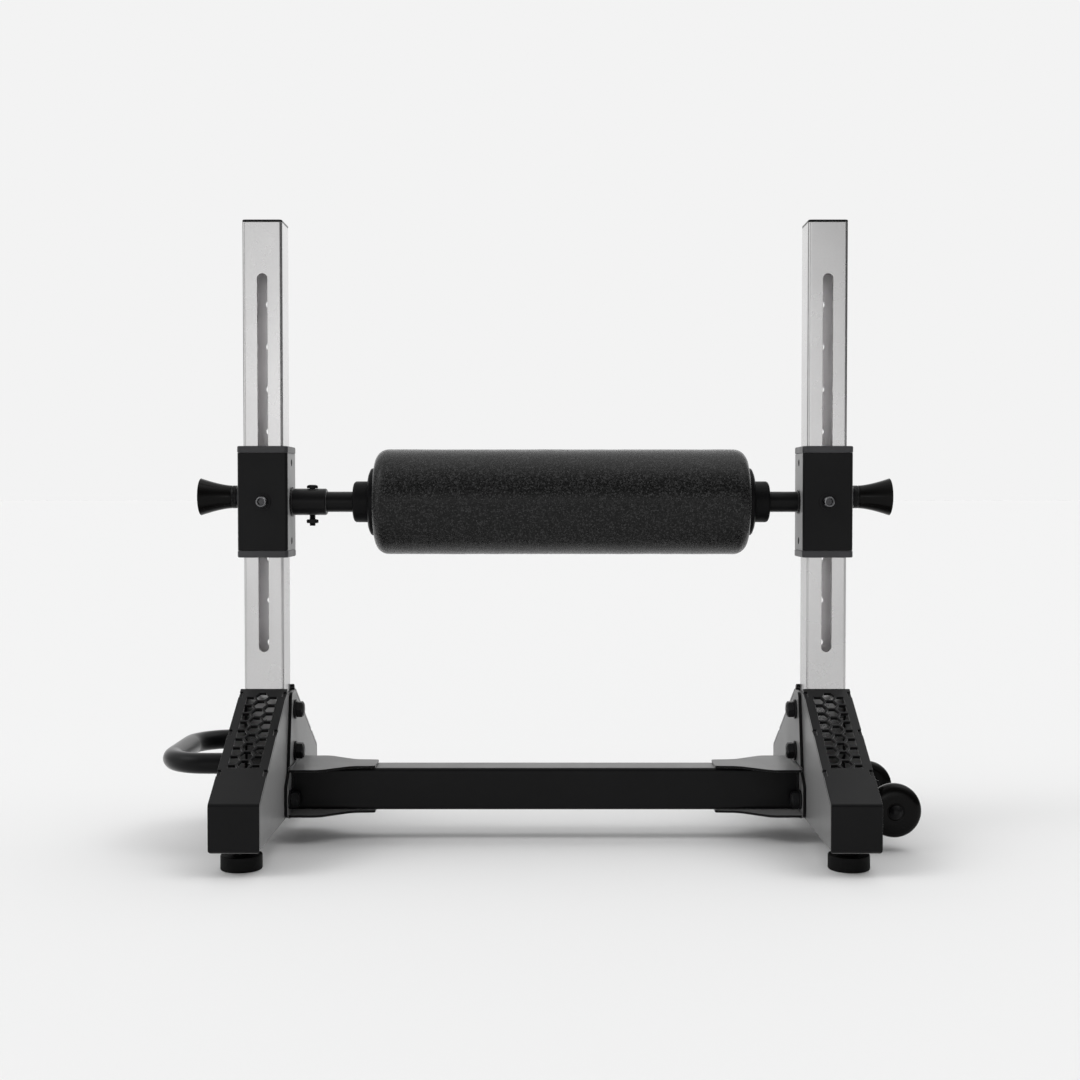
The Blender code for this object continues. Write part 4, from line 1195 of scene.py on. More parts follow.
@dataclass
class Feet:
    """Side plates, folded covers with a honeycomb window, and rubber feet."""

    sheet: float = 0.004
    fold_radius: float = 0.0055
    corner: float = 0.004
    fold_z: float = 0.0834
    hex_pitch: float = 0.01645
    hex_flats: float = 0.0138
    hex_first: float = 0.0157
    hex_rows: int = 9
    window_half: float = 0.019
    tabs: tuple[float, ...] = (0.012, 0.0875, 0.163)
    notch: Span = (0.0108, 0.0046)
    flange_end: float = 0.142
    rubber_y: float = 0.171
    rubber_height: float = 0.0175
    rubber_radius: float = 0.0243
    reach: float = 0.006
    cell_span: Span = (-0.008, 0.008)

    def build(self) -> None:
        """Build the plates, the covers and the rubber feet of both sides."""
        self.plates()
        self.covers()
        self.rubber_feet()

    def plates(self) -> None:
        """Side plates with the tabs that sit in the covers' notches."""
        for side in Side:
            for which in ("inner", "outer"):
                node = f"{side.value}_foot_{which}_plate"
                dress(refined(node), "frame", BLACK_COAT, node, edge=PLATE_EDGE)

    @property
    def slope(self) -> float:
        """Angle of the cover's top below level."""
        box = Box.of("left_front_cover")
        return math.atan2(box.high.z - self.fold_z, box.size.y)

    def covers(self) -> None:
        """Model one cover and copy it to the other three places."""
        cover = self.folded_sheet()
        carve(cover, self.window())
        box = Box.of("left_front_cover")
        at = Vector((box.centre.x, -self.rubber_y, box.low.z))
        span = (-OVERCUT, self.sheet + OVERCUT)
        carve(cover, rod("stud_hole", ALONG_Z, at, 0.0043, span))
        four_corners(cover, BLACK_COAT, "cover", PLATE_EDGE)

    def folded_sheet(self) -> Piece:
        """Flange, front face and slope as one bent sheet."""
        box = Box.of("left_front_cover")
        centre = box.centre.x
        half = box.size.x / 2
        near = -self.flange_end
        bpy.ops.mesh.primitive_plane_add(
            size=1.0, location=(centre, (box.low.y + near) / 2, box.low.z)
        )
        bpy.ops.transform.resize(value=(2 * half, near - box.low.y, 1.0))
        cover = settle(bpy.context.object, "left_front_folded_cover")
        with editing(cover):
            pick(cover, "EDGE", lambda e: middle(e).y < box.low.y + 1e-5)
            up = (0, 0, self.fold_z - box.low.z)
            pull(up)
            back = (0, box.size.y, box.high.z - self.fold_z)
            pull(back)
            for height, turn in ((self.fold_z, math.pi / 2 - self.slope), (box.low.z, math.pi / 2)):
                pick(
                    cover,
                    "EDGE",
                    lambda e, h=height: runs_along(e, ALONG_X)
                    and abs(middle(e).z - h) < 1e-5
                    and middle(e).y < box.low.y + 1e-5,
                )
                offset = self.fold_radius * math.tan(turn / 2)
                bpy.ops.mesh.bevel(offset=offset, segments=8)
            self.narrow_flange(cover, centre, half, box.low.z)
            everything()
            bpy.ops.mesh.normals_make_consistent(inside=False)
        # The open sheet's faces must look away from the foot before it gets its wall
        with editing(cover):
            count = pick(cover, "FACE", lambda f: f.normal.z > 0.5)
            everything()
            if count == 0:
                bpy.ops.mesh.flip_normals()
        modify(cover, "SOLIDIFY", thickness=self.sheet, offset=-1.0, use_even_offset=True)
        return cover

    def narrow_flange(self, cover: Piece, centre: float, half: float, bottom: float) -> None:
        """Round the face's lower corners by drawing in each row of the lower fold."""
        mesh = bmesh.from_edit_mesh(cover.data)
        low = [v.co.z for v in mesh.verts if v.co.z < bottom + self.corner]
        for height in sorted({round(z, 7) for z in low}):
            rise = height - bottom
            inset = self.corner - math.sqrt(max(0.0, self.corner**2 - (self.corner - rise) ** 2))
            pick(cover, "VERT", lambda v, h=height: abs(v.co.z - h) < 2e-7)
            share = (half - inset) / half
            bpy.ops.transform.resize(value=(share, 1, 1), center_override=(centre, 0, 0))

    def window(self) -> Piece:
        """Cutter of the honeycomb window and the edge notches, laid on the slope."""
        column = self.hex_pitch * math.sqrt(3) / 2
        cells = []
        for row in range(self.hex_rows):
            for side in (-1, 0, 1):
                down = self.hex_first + (row + 0.5 * abs(side)) * self.hex_pitch
                at = Vector((side * column, -down, 0.0))
                radius = self.hex_flats / math.sqrt(3)
                cells.append(rod("cell", ALONG_Z, at, radius, self.cell_span, 6, HEX_TURN))
        cutter = joined("window", *cells)
        last = self.hex_first + (self.hex_rows - 1) * self.hex_pitch + self.hex_flats / 2
        reach, half = self.reach, self.window_half
        frame_box = block("frame_box", (-half, -last, -reach), (half, 0, reach))
        carve(cutter, frame_box, keep="INTERSECT")
        box = Box.of("left_front_cover")
        half = box.size.x / 2
        length, depth = self.notch
        notches = []
        for place in self.tabs:
            for side in (-1, 1):
                ends = sorted((side * (half - depth), side * (half + OVERCUT)))
                notches.append(
                    block(
                        "notch", (ends[0], -place - length / 2, -reach),
                        (ends[1], -place + length / 2, reach),
                    )
                )
        cutter = joined("window", cutter, *notches)
        cutter.rotation_euler = (self.slope, 0.0, 0.0)
        cutter.location = (box.centre.x, box.high.y, box.high.z)
        return settle(cutter)

    def rubber_feet(self) -> None:
        """Rubber feet with a threaded stud."""
        box = Box.of("left_front_rubber_foot")
        at = Vector((box.centre.x, box.centre.y, 0.0))
        r, h = self.rubber_radius, self.rubber_height
        seat = Box.of("left_front_cover").low.z - GAP
        pad = [
            (0.0025, 0.010), (0.0, 0.012), (0.0, r - 0.0016), (0.0005, r - 0.0005), (0.0016, r),
            (h - 0.0014, r), (h - 0.0004, r - 0.0004), (h, r - 0.0014), (h, 0.011), (seat, 0.011),
        ]
        foot = turned("left_front_foot_pad", ALONG_Z, at, pad, 64)
        screw = [(seat, 0.0036), *thread(seat + 0.0002, box.high.z, *M8)]
        stud = turned("stud", ALONG_Z, at, screw, 24)
        foot = joined("left_front_foot_pad", foot, stud)
        four_corners(foot, RUBBER, "rubber_foot")


@dataclass
class CrossMember:
    """Cross tube, gussets and end plates, welded together."""

    wall: float = 0.003
    corner: float = 0.005
    gusset: float = 0.003
    half_width: float = 0.054
    shoulder: float = 0.038
    waist: float = 0.0756
    waist_half: float = 0.0255
    length: float = 0.105
    tip_half: float = 0.0235
    plate: float = 0.004
    plate_corner: float = 0.008
    bead: float = 0.0017

    def build(self) -> None:
        """Build the tube, the gussets, the end plates and the welds."""
        box = Box.of("cross_tube")
        tube = square_tube("cross_tube_body", box.low, box.high, ALONG_X, self.corner, self.wall)
        dress(tube, "frame", BLACK_COAT, "cross_tube", edge=0.0003)
        self.gussets(box)
        self.end_plates(box)
        self.welds(box)

    def gussets(self, box: Box) -> None:
        """Shaped plates over and under the tube's ends."""
        start = box.low.x
        half = [
            (0.0, self.half_width, 0.0035), (self.shoulder, self.half_width, 0.022),
            (self.waist, self.waist_half, 0.025), (self.length, self.tip_half, 0.0035),
        ]
        outline = half + [(x, -y, r) for x, y, r in reversed(half)]
        corners = [(Vector((start + x, y, box.high.z + GAP)), r) for x, y, r in outline]
        top = cut_plate("left_top_gusset_plate", corners, ALONG_Z * self.gusset)
        drop = box.low.z - box.high.z - 2 * GAP - self.gusset
        bottom = copied(top, "left_bottom_gusset_plate", (0, 0, drop))
        for level, left in (("top", top), ("bottom", bottom)):
            both_sides(left, "frame", BLACK_COAT, f"{level}_gusset", PLATE_EDGE)

    def end_plates(self, box: Box) -> None:
        """Plates that bolt the tube to the feet."""
        node = Box.of("left_end_plate")
        half = [
            (node.high.y, node.low.z), (node.high.y, box.high.z - 0.018),
            (0.038, box.high.z - 0.0025), (0.016, node.high.z),
        ]
        outline = half + [(-y, z) for y, z in reversed(half)]
        corners = [(Vector((node.low.x, y, z)), self.plate_corner) for y, z in outline]
        plate = cut_plate("left_bolted_plate", corners, ALONG_X * self.plate)
        both_sides(plate, "frame", BLACK_COAT, "end_plate", PLATE_EDGE)

    def welds(self, box: Box) -> None:
        """Beads between tube, gussets and end plate."""
        x = box.low.x + 0.0006
        y = box.high.y
        tube_side = [Vector((x, y + 0.0006, z)) for z in (box.low.z + 0.003, box.high.z - 0.003)]
        z = box.high.z + GAP + self.gusset + 0.0004
        wide = self.half_width - 0.006
        over = [Vector((x, side * wide, z)) for side in (-1, 1)]
        z = box.low.z - GAP - self.gusset - 0.0004
        under = [Vector((x, side * wide, z)) for side in (-1, 1)]
        beads = [
            weld("rear_bead", tube_side, self.bead, False),
            weld("front_bead", [Vector((p.x, -p.y, p.z)) for p in tube_side], self.bead, False),
            weld("over_bead", over, self.bead, False),
            weld("under_bead", under, self.bead, False),
        ]
        both_sides(joined("left_tube_welds", *beads), "frame", BLACK_COAT)


@dataclass
class FrameBolts:
    """Four bolts on each side, each with a washer and a lock nut on the inside."""

    radius: float = 0.006
    flats: float = 0.019
    washer: Span = (0.0123, 0.0025)
    nut: float = 0.0086
    collar: Span = (0.0088, 0.0010)
    tip: float = 0.0006
    head: float = 0.0073

    def build(self) -> None:
        """Model a long and a short bolt and copy them to their places."""
        first, second, third, fourth = [Box.of(f"left_frame_bolt_{n}") for n in (1, 2, 3, 4)]
        long_bolt, short_bolt = self.bolt(first), self.bolt(third)
        rise = (0, 0, second.centre.z - first.centre.z)
        bolts = [
            long_bolt,
            copied(long_bolt, "left_bolt_2", rise),
            short_bolt,
            copied(short_bolt, "left_bolt_4", fourth.centre - third.centre),
        ]
        for number, obj in enumerate(bolts, 1):
            obj.name = f"left_bolt_{number}"
            both_sides(obj, "frame", FRAME_OXIDE, f"frame_bolt_{number}")

    def bolt(self, box: Box) -> Piece:
        """Model the left bolt in a box, its nut towards the middle.

        Args:
            box: Box of the solid that it stands for.

        Returns:
            The new object.
        """
        at = Vector((0.0, box.centre.y, box.centre.z))
        seat = Box.of("left_end_plate").high.x + GAP
        r, thick = self.washer
        collar_r, collar = self.collar
        face = seat + thick
        nut_end = face + self.nut
        collar_end = nut_end + collar
        washer = [
            (seat, self.radius), (seat, r - 0.0003), (seat + 0.0004, r), (face - 0.0004, r),
            (face, r - 0.0004), (face, self.radius),
        ]
        top = [
            (nut_end - 0.0004, collar_r), (collar_end - 0.0010, collar_r),
            (collar_end - 0.0003, collar_r - 0.0005), (collar_end, collar_r - 0.0012),
            (collar_end, self.radius), (nut_end - 0.0004, self.radius),
        ]
        far = box.low.x + 0.0075
        parts = [
            turned("washer", ALONG_X, at, washer, 40, ring=True),
            hex_head("nut", ALONG_X, at, self.flats, (face, nut_end)),
            turned("collar", ALONG_X, at, top, 40, ring=True),
            turned(
                "shank",
                ALONG_X,
                at,
                [(far - 0.001, 0.0058), *thread(far, collar_end + self.tip, *M12)],
                24,
            ),
            hex_head("head", ALONG_X, at, self.flats, (far - self.head, far)),
        ]
        return joined("bolt", *parts)


@dataclass
class Handle:
    """The carrying handle, a tube bent into a level U and welded to the left foot."""

    radius: float = 0.0127
    limb_y: float = 0.093
    height: float = 0.1095
    bend: float = 0.050
    sides: int = 40
    steps: int = 14
    bead: float = 0.0018

    def build(self) -> None:
        """Extrude and spin the tube, and weld its ends."""
        box = Box.of("carry_handle")
        start = box.high.x
        bend_x = box.low.x + self.radius + self.bend
        bend_y = self.limb_y - self.bend
        bpy.ops.mesh.primitive_circle_add(
            vertices=self.sides,
            radius=self.radius,
            location=(start, -self.limb_y, self.height),
            rotation=facing(ALONG_X),
        )
        tube = settle(bpy.context.object, "bent_handle")
        with editing(tube, "EDGE"):
            everything()
            pull((bend_x - start, 0, 0))
            self.spin((bend_x, -bend_y, self.height))
            pull((0, 2 * bend_y, 0))
            self.spin((bend_x, bend_y, self.height))
            pull((start - bend_x, 0, 0))
            closed_up(False)
        dress(tube, "frame", BLACK_COAT, "carry_handle")
        rings = []
        for side in (-1, 1):
            at = Vector((start - 0.001, side * self.limb_y, self.height))
            line = circle_points(ALONG_X, at, self.radius + 0.0008)
            rings.append(weld("handle_bead", line, self.bead, True))
        dress(joined("handle_welds", *rings), "frame", BLACK_COAT)

    def spin(self, centre: tuple[float, float, float]) -> None:
        """Spin the tube's open end a quarter turn about an upright axis."""
        bpy.ops.mesh.spin(steps=self.steps, angle=math.pi / 2, center=centre, axis=(0, 0, 1))


@dataclass
class Wheels:
    """Transport wheels, their axle and the bracket on the right foot."""

    radius: float = 0.0334
    half_width: float = 0.012
    axle: float = 0.006
    bead: float = 0.0016

    def build(self) -> None:
        """Build the bracket, the axle and the two wheels."""
        dress(refined("wheel_bracket"), "frame", BLACK_COAT, "wheel_bracket", edge=PLATE_EDGE)
        self.bracket_welds()
        self.axle_rod()
        self.wheel_pair()

    def bracket_welds(self) -> None:
        """Beads up the bracket's two sides."""
        box = Box.of("wheel_bracket")
        beads = []
        for side in (-1, 1):
            line = [
                Vector((box.low.x + 0.0004, side * (box.high.y + 0.0006), z))
                for z in (box.low.z + 0.002, box.high.z - 0.002)
            ]
            beads.append(weld("bracket_bead", line, self.bead, False))
        dress(joined("bracket_welds", *beads), "frame", BLACK_COAT)

    def axle_rod(self) -> None:
        """Axle with spacers and a low head outside each wheel."""
        box = Box.of("wheel_axle")
        at = Vector((box.centre.x, 0.0, box.centre.z))
        end = box.high.y
        seat = end - 0.004
        hub = seat - 2 * self.half_width - 0.001
        ear = Box.of("wheel_bracket").high.y + GAP
        half = [
            (end, 0.0006), (end, 0.0034), (end - 0.0006, 0.0043), (end - 0.0028, 0.0078),
            (end - 0.0034, 0.0082), (seat, 0.0080), (seat, self.axle), (hub, self.axle),
            (hub, 0.0096), (hub - 0.0004, 0.010), (ear + 0.0004, 0.010), (ear, 0.0096),
            (ear, self.axle),
        ]
        rings = [(-y, r) for y, r in half] + [(y, r) for y, r in reversed(half)]
        dress(turned("axle_rod", ALONG_Y, at, rings, 40), "frame", BLACK_OXIDE, "wheel_axle")

    def wheel_pair(self) -> None:
        """Model the front wheel and copy it to the rear."""
        box = Box.of("front_wheel")
        at = box.centre
        w, r = self.half_width, self.radius
        bore = self.axle + GAP
        outside = eased(
            [
                (-w * 0.98, r * 0.74), (-w * 0.9, r * 0.80), (-w * 0.62, r * 0.945),
                (-w * 0.2, r * 0.993), (w * 0.2, r * 0.993), (w * 0.62, r * 0.935),
                (w * 0.88, r * 0.79), (w * 0.965, r * 0.62), (w, r * 0.42), (w, r * 0.33),
            ],
            4,
        )
        profile = [
            (-w, bore), (-w, r * 0.34), (-w * 0.86, r * 0.36), (-w * 0.86, r * 0.66),
            *outside,
            (w * 0.97, r * 0.30), (w * 0.94, r * 0.285), (w * 0.94, bore),
        ]
        front = turned("front_moulded_wheel", -ALONG_Y, at, profile, 96, ring=True)
        rear = mirrored(front, "rear_moulded_wheel", ALONG_Y, 0.0)
        dress(front, "front_wheel", GLOSS_PLASTIC, "front_wheel")
        dress(rear, "rear_wheel", GLOSS_PLASTIC, "rear_wheel")


# The carriage


@dataclass
class Sleeves:
    """Sliding sleeves with their plastic liners, guide bolts and pin barrels."""

    wall: float = 0.003
    corner: float = 0.004
    liner_depth: float = 0.022
    button: float = 0.004
    button_drop: float = 0.0118
    guide_radius: float = 0.005
    guide_head: float = 0.0095
    cap_radius: float = 0.0077
    key: float = 0.0046

    def build(self) -> None:
        """Model the left side's pieces and copy them to the right."""
        self.tubes()
        self.liners()
        self.guide_bolts()
        self.barrels()

    def tubes(self) -> None:
        """Square sleeves with holes for the pin, the guide bolt and the buttons."""
        box = Box.of("left_sleeve")
        tube = square_tube("left_sleeve_tube", box.low, box.high, ALONG_Z, self.corner, self.wall)
        pin = Box.of("left_pin_barrel").centre
        guide = Box.of("left_guide_bolt").centre
        inner = Vector((box.high.x, 0.0, 0.0))
        through = (-self.wall - OVERCUT, OVERCUT)
        into = (-OVERCUT, self.wall + OVERCUT)
        cutters = [
            rod("pin_hole", ALONG_X, Vector((box.low.x, 0.0, pin.z)), 0.0113, into),
            rod("guide_hole", ALONG_Y, Vector((guide.x, box.low.y, guide.z)), 0.0053, into),
        ]
        for height in (box.low.z + self.button_drop, box.high.z - self.button_drop):
            at = inner + ALONG_Z * height
            cutters.append(rod("button_hole", ALONG_X, at, self.button + GAP, through))
        carve(tube, *cutters)
        both_sides(tube, "carriage", BLACK_COAT, "sleeve", PLATE_EDGE)

    def liners(self) -> None:
        """Liners with a flange outside the sleeve and buttons that hold them in."""
        sleeve = Box.of("left_sleeve")
        box = Box.of("left_top_liner")
        at = Vector((sleeve.centre.x, 0.0, sleeve.high.z))
        bore = Box.of("left_upright").size.x + 2 * GAP
        plug = sleeve.size.x - 2 * self.wall - 2 * GAP
        flange = box.size.x
        top = box.high.z - sleeve.high.z
        levels = [
            (top - 0.0005, bore), (top, bore + 0.0012), (top, flange - 0.0024),
            (top - 0.0004, flange - 0.0009), (top - 0.0013, flange), (GAP + 0.0008, flange),
            (GAP, flange - 0.0010), (GAP, plug), (-self.liner_depth + 0.002, plug),
            (-self.liner_depth, plug - 0.0015), (-self.liner_depth, bore),
        ]
        liner = square_ring("left_top_sleeve_liner", at, levels, self.corner)
        hole = Vector((sleeve.high.x, 0.0, sleeve.high.z - self.button_drop))
        face = -0.0006
        knob = [
            (-self.wall - 0.0008, self.button), (face - 0.0003, self.button),
            (face, self.button - 0.0004), (face - 0.0002, 0.0022), (face - 0.0010, 0.0018),
            (face - 0.0010, 0.0004),
        ]
        button = turned("button", ALONG_X, hole, knob, 32)
        liner = joined("left_top_sleeve_liner", liner, button)
        middle_z = sleeve.centre.z
        bottom = mirrored(liner, "left_bottom_sleeve_liner", ALONG_Z, middle_z)
        both_sides(liner, "carriage", LINER_PLASTIC, "top_liner")
        both_sides(bottom, "carriage", LINER_PLASTIC, "bottom_liner")

    def guide_bolts(self) -> None:
        """Cap screws that run in the uprights' slots."""
        box = Box.of("left_guide_bolt")
        sleeve = Box.of("left_sleeve")
        at = Vector((box.centre.x, sleeve.low.y - GAP, box.centre.z))
        thick = 0.0015
        head = self.guide_head
        washer = [
            (-0.001, self.guide_radius), (0.0, 0.0102), (0.0002, 0.0105), (thick - 0.0003, 0.0105),
            (thick, 0.0101), (thick, self.guide_radius),
        ]
        cap = [
            (thick, self.cap_radius - 0.0004), (thick + 0.0005, self.cap_radius),
            (thick + head - 0.0032, self.cap_radius),
            (thick + head - 0.0032, self.cap_radius - 0.0025),
            (thick + head - 0.0003, self.cap_radius - 0.0025), (thick + head - 0.0003, 0.0049),
        ]
        screw = turned("screw", -ALONG_Y, at, cap, 48)
        depth = (thick + head - 0.005, thick + head + OVERCUT)
        key = rod("key", -ALONG_Y, at, self.key, depth, 6, HEX_TURN)
        carve(screw, key)
        end = sleeve.low.y - GAP - box.high.y
        shank = turned("shank", -ALONG_Y, at, [(thick, 0.0048), *thread(0.0, end, *M10)], 24)
        ring = turned("left_washer", -ALONG_Y, at, washer, 48, ring=True)
        bolt = joined("left_cap_screw", screw, shank)
        both_sides(bolt, "carriage", SCREW_STEEL, "guide_bolt", 0.0002)
        both_sides(ring, "carriage", BLACK_OXIDE)
        self.bright_rims(at, thick + head)

    def bright_rims(self, at: Vector, top: float) -> None:
        """Bright turned rims round the two cap screws' heads.

        Args:
            at: Point on the left screw's axis, on the sleeve.
            top: Height of the head.
        """
        outside = self.cap_radius
        rim = [
            (top - 0.0042, outside), (top - 0.0042, outside + 0.0003),
            (top - 0.0026, outside + 0.0001), (top - 0.0002, outside - 0.0015),
            (top, outside - 0.0019), (top, outside - 0.0026), (top - 0.0030, outside - 0.0026),
        ]
        left = turned("left_screw_rim", -ALONG_Y, at, rim, 48, ring=True)
        both_sides(left, "carriage", SCREW_RIM)

    def barrels(self) -> None:
        """Fixed barrels that carry the lock pins."""
        box = Box.of("left_pin_barrel")
        face = Box.of("left_sleeve").low.x
        at = Vector((face, 0.0, box.centre.z))
        length = face - box.low.x
        profile = [
            (-self.wall, 0.009), (-self.wall, 0.011), (length - 0.0006, 0.011), (length, 0.0104),
            (length, 0.0053), (length - 0.003, 0.0053), (length - 0.003, 0.009),
        ]
        barrel = turned("left_barrel", -ALONG_X, at, profile, 40, ring=True)
        both_sides(barrel, "carriage", DARK_STEEL, "pin_barrel")


@dataclass
class LockPins:
    """Spring pins with a glossy flared knob, a ribbed band and a steel pin."""

    base: float = 0.006
    band: float = 0.0125
    neck: float = 0.0145
    rim: float = 0.0236
    rim_at: float = 0.0518
    length: float = 0.0529
    bore: float = 0.0114
    bore_end: float = 0.026
    power: float = 1.5

    def build(self) -> None:
        """Model the left pin's three pieces and copy them to the right."""
        box = Box.of("left_pull_pin")
        sleeve = Box.of("left_sleeve")
        at = Vector((sleeve.low.x, 0.0, box.centre.z))
        both_sides(self.knob(at), "*_pin", GLOSS_PLASTIC, "pull_pin")
        both_sides(self.ribbed_band(at), "*_pin", MOULDED_PLASTIC)
        both_sides(self.steel_pin(at, sleeve.low.x - box.high.x), "*_pin", DARK_STEEL)
        for side in Side:
            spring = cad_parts[side.value + "_pin_spring"]
            for slot in spring.material_slots:
                slot.material = SPRING_WIRE.material()

    def knob(self, at: Vector) -> Piece:
        """Flared knob with a rounded rim and a slightly domed end."""
        growth = self.rim - self.neck
        span = self.rim_at - self.band
        flare = [
            (self.band + span * t, self.neck + growth * t**self.power)
            for t in [k / 16 for k in range(1, 16)]
        ]
        lip = [
            (self.rim_at - 0.0005, self.rim - 0.0002), (self.rim_at, self.rim - 0.0001),
            (self.rim_at + 0.0004, self.rim - 0.0005), (self.rim_at + 0.0005, self.rim - 0.0011),
        ]
        dome = [
            (self.length - (self.length - self.rim_at - 0.0005) * (r / (self.rim - 0.001)) ** 2, r)
            for r in (0.019, 0.016, 0.012, 0.008, 0.004, 0.0006)
        ]
        inside = [
            (self.bore_end, 0.0006), (self.bore_end, self.bore), (self.band - 0.001, self.bore),
            (self.band - 0.001, self.neck - 0.0008), (self.band, self.neck),
        ]
        return turned("left_knob", -ALONG_X, at, [*inside, *flare, *lip, *dome], 72)

    def ribbed_band(self, at: Vector) -> Piece:
        """Matt ring at the knob's base with fine grooves round it."""
        low, high = self.base, self.band - 0.0008
        outside = [(low, self.neck - 0.0006), (low + 0.0004, self.neck)]
        count = 4
        for k in range(count):
            start = low + 0.0010 + (high - low - 0.0016) * k / count
            outside += [
                (start, self.neck), (start + 0.0002, self.neck - 0.0004),
                (start + 0.0005, self.neck - 0.0004), (start + 0.0007, self.neck),
            ]
        outside += [(high, self.neck - 0.0003), (high, self.bore)]
        return turned("left_knob_band", -ALONG_X, at, [(low, self.bore), *outside], 72, ring=True)

    def steel_pin(self, at: Vector, tip: float) -> Piece:
        """Pin with its collar, inside the barrel and the knob."""
        r = 0.005
        profile = [
            (-tip, 0.0036), (-tip + 0.0012, r), (0.0032, r), (0.0032, 0.0086), (0.0052, 0.0086),
            (0.0052, r), (self.bore_end - GAP, r),
        ]
        return turned("left_steel_pin", -ALONG_X, at, profile, 32)


@dataclass
class Shaft:
    """Shaft across the carriage, the socket on the left sleeve and the bolt through both."""

    radius: float = 0.013
    wall: float = 0.003
    socket: float = 0.0169
    nut_drop: float = 0.0050
    key: float = 0.0026
    nut_flats: float = 0.013
    nut_height: float = 0.0050
    bead: float = 0.0015

    def build(self) -> None:
        """Build the socket, the shaft, the bolt and the welds."""
        self.socket_tube()
        self.shaft_tube()
        self.bolt()
        self.welds()

    def socket_tube(self) -> None:
        """Short tube that takes the shaft's left end."""
        box = Box.of("shaft_socket")
        at = Vector((0.0, 0.0, box.centre.z))
        low, high, r = box.low.x, box.high.x, self.socket
        profile = [
            (low, self.radius + GAP), (low, r - 0.0004), (low + 0.0008, r), (high - 0.0018, r),
            (high - 0.0007, r - 0.0006), (high, r - 0.0018), (high, self.radius + GAP),
        ]
        socket = turned("socket_tube", ALONG_X, at, profile, 64, ring=True)
        carve(socket, self.bolt_hole())
        dress(socket, "carriage", BLACK_COAT, "shaft_socket", edge=0.0003)

    def bolt_hole(self) -> Piece:
        """Cutter of the bolt's hole."""
        bolt = Box.of("socket_bolt").centre
        at = Vector((bolt.x, 0.0, Box.of("shaft_socket").centre.z))
        return rod("hole", ALONG_Z, at, 0.0043, (-0.02, 0.02))

    def shaft_tube(self) -> None:
        """Tube from the socket to the right sleeve."""
        box = Box.of("roller_shaft")
        at = Vector((0.0, 0.0, box.centre.z))
        inner = self.radius - self.wall
        profile = [
            (box.low.x, inner), (box.low.x, self.radius - 0.0005),
            (box.low.x + 0.0005, self.radius), (box.high.x, self.radius), (box.high.x, inner),
        ]
        shaft = turned("shaft_tube", ALONG_X, at, profile, 64, ring=True)
        carve(shaft, self.bolt_hole())
        dress(shaft, "carriage", BLACK_COAT, "roller_shaft")

    def bolt(self) -> None:
        """Round-headed bolt with a nut below and its thread showing."""
        box = Box.of("socket_bolt")
        axis_z = Box.of("shaft_socket").centre.z
        at = Vector((box.centre.x, box.centre.y, axis_z))
        top = self.socket + GAP
        head = box.high.z - axis_z
        r = 0.0070
        dome = [
            (top, r - 0.0001), (top + 0.0003, r), (top + 0.0024, r), (top + 0.0034, r * 0.93),
            (head - 0.0003, r * 0.72), (head, r * 0.6), (head, 0.0008),
        ]
        pan = turned("pan_head", ALONG_Z, at, dome, 40)
        key = rod("key", ALONG_Z, at, self.key, (head - 0.002, head + OVERCUT), 6)
        carve(pan, key)
        tip = box.low.z - axis_z
        screw = [(top, 0.0038), *thread(top - 0.001, tip, *M8)]
        shank = turned("shank", ALONG_Z, at, screw, 24)
        below = -top - self.nut_drop
        nut = hex_head("nut", ALONG_Z, at, self.nut_flats, (below - self.nut_height, below))
        bolt = joined("socket_through_bolt", pan, shank, nut)
        dress(bolt, "carriage", BLACK_OXIDE, "socket_bolt")

    def welds(self) -> None:
        """Beads round the socket at the left sleeve and the shaft at the right."""
        socket, shaft = Box.of("shaft_socket"), Box.of("roller_shaft")
        centre = Vector((0.0, 0.0, socket.centre.z))
        ends = (
            ("socket_bead", socket.low.x + 0.0008, self.socket),
            ("shaft_bead", shaft.high.x - 0.0008, self.radius),
        )
        beads = []
        for name, x, radius in ends:
            line = circle_points(ALONG_X, centre + ALONG_X * x, radius + 0.0006)
            beads.append(weld(name, line, self.bead, True))
        dress(joined("shaft_welds", *beads), "carriage", BLACK_COAT)


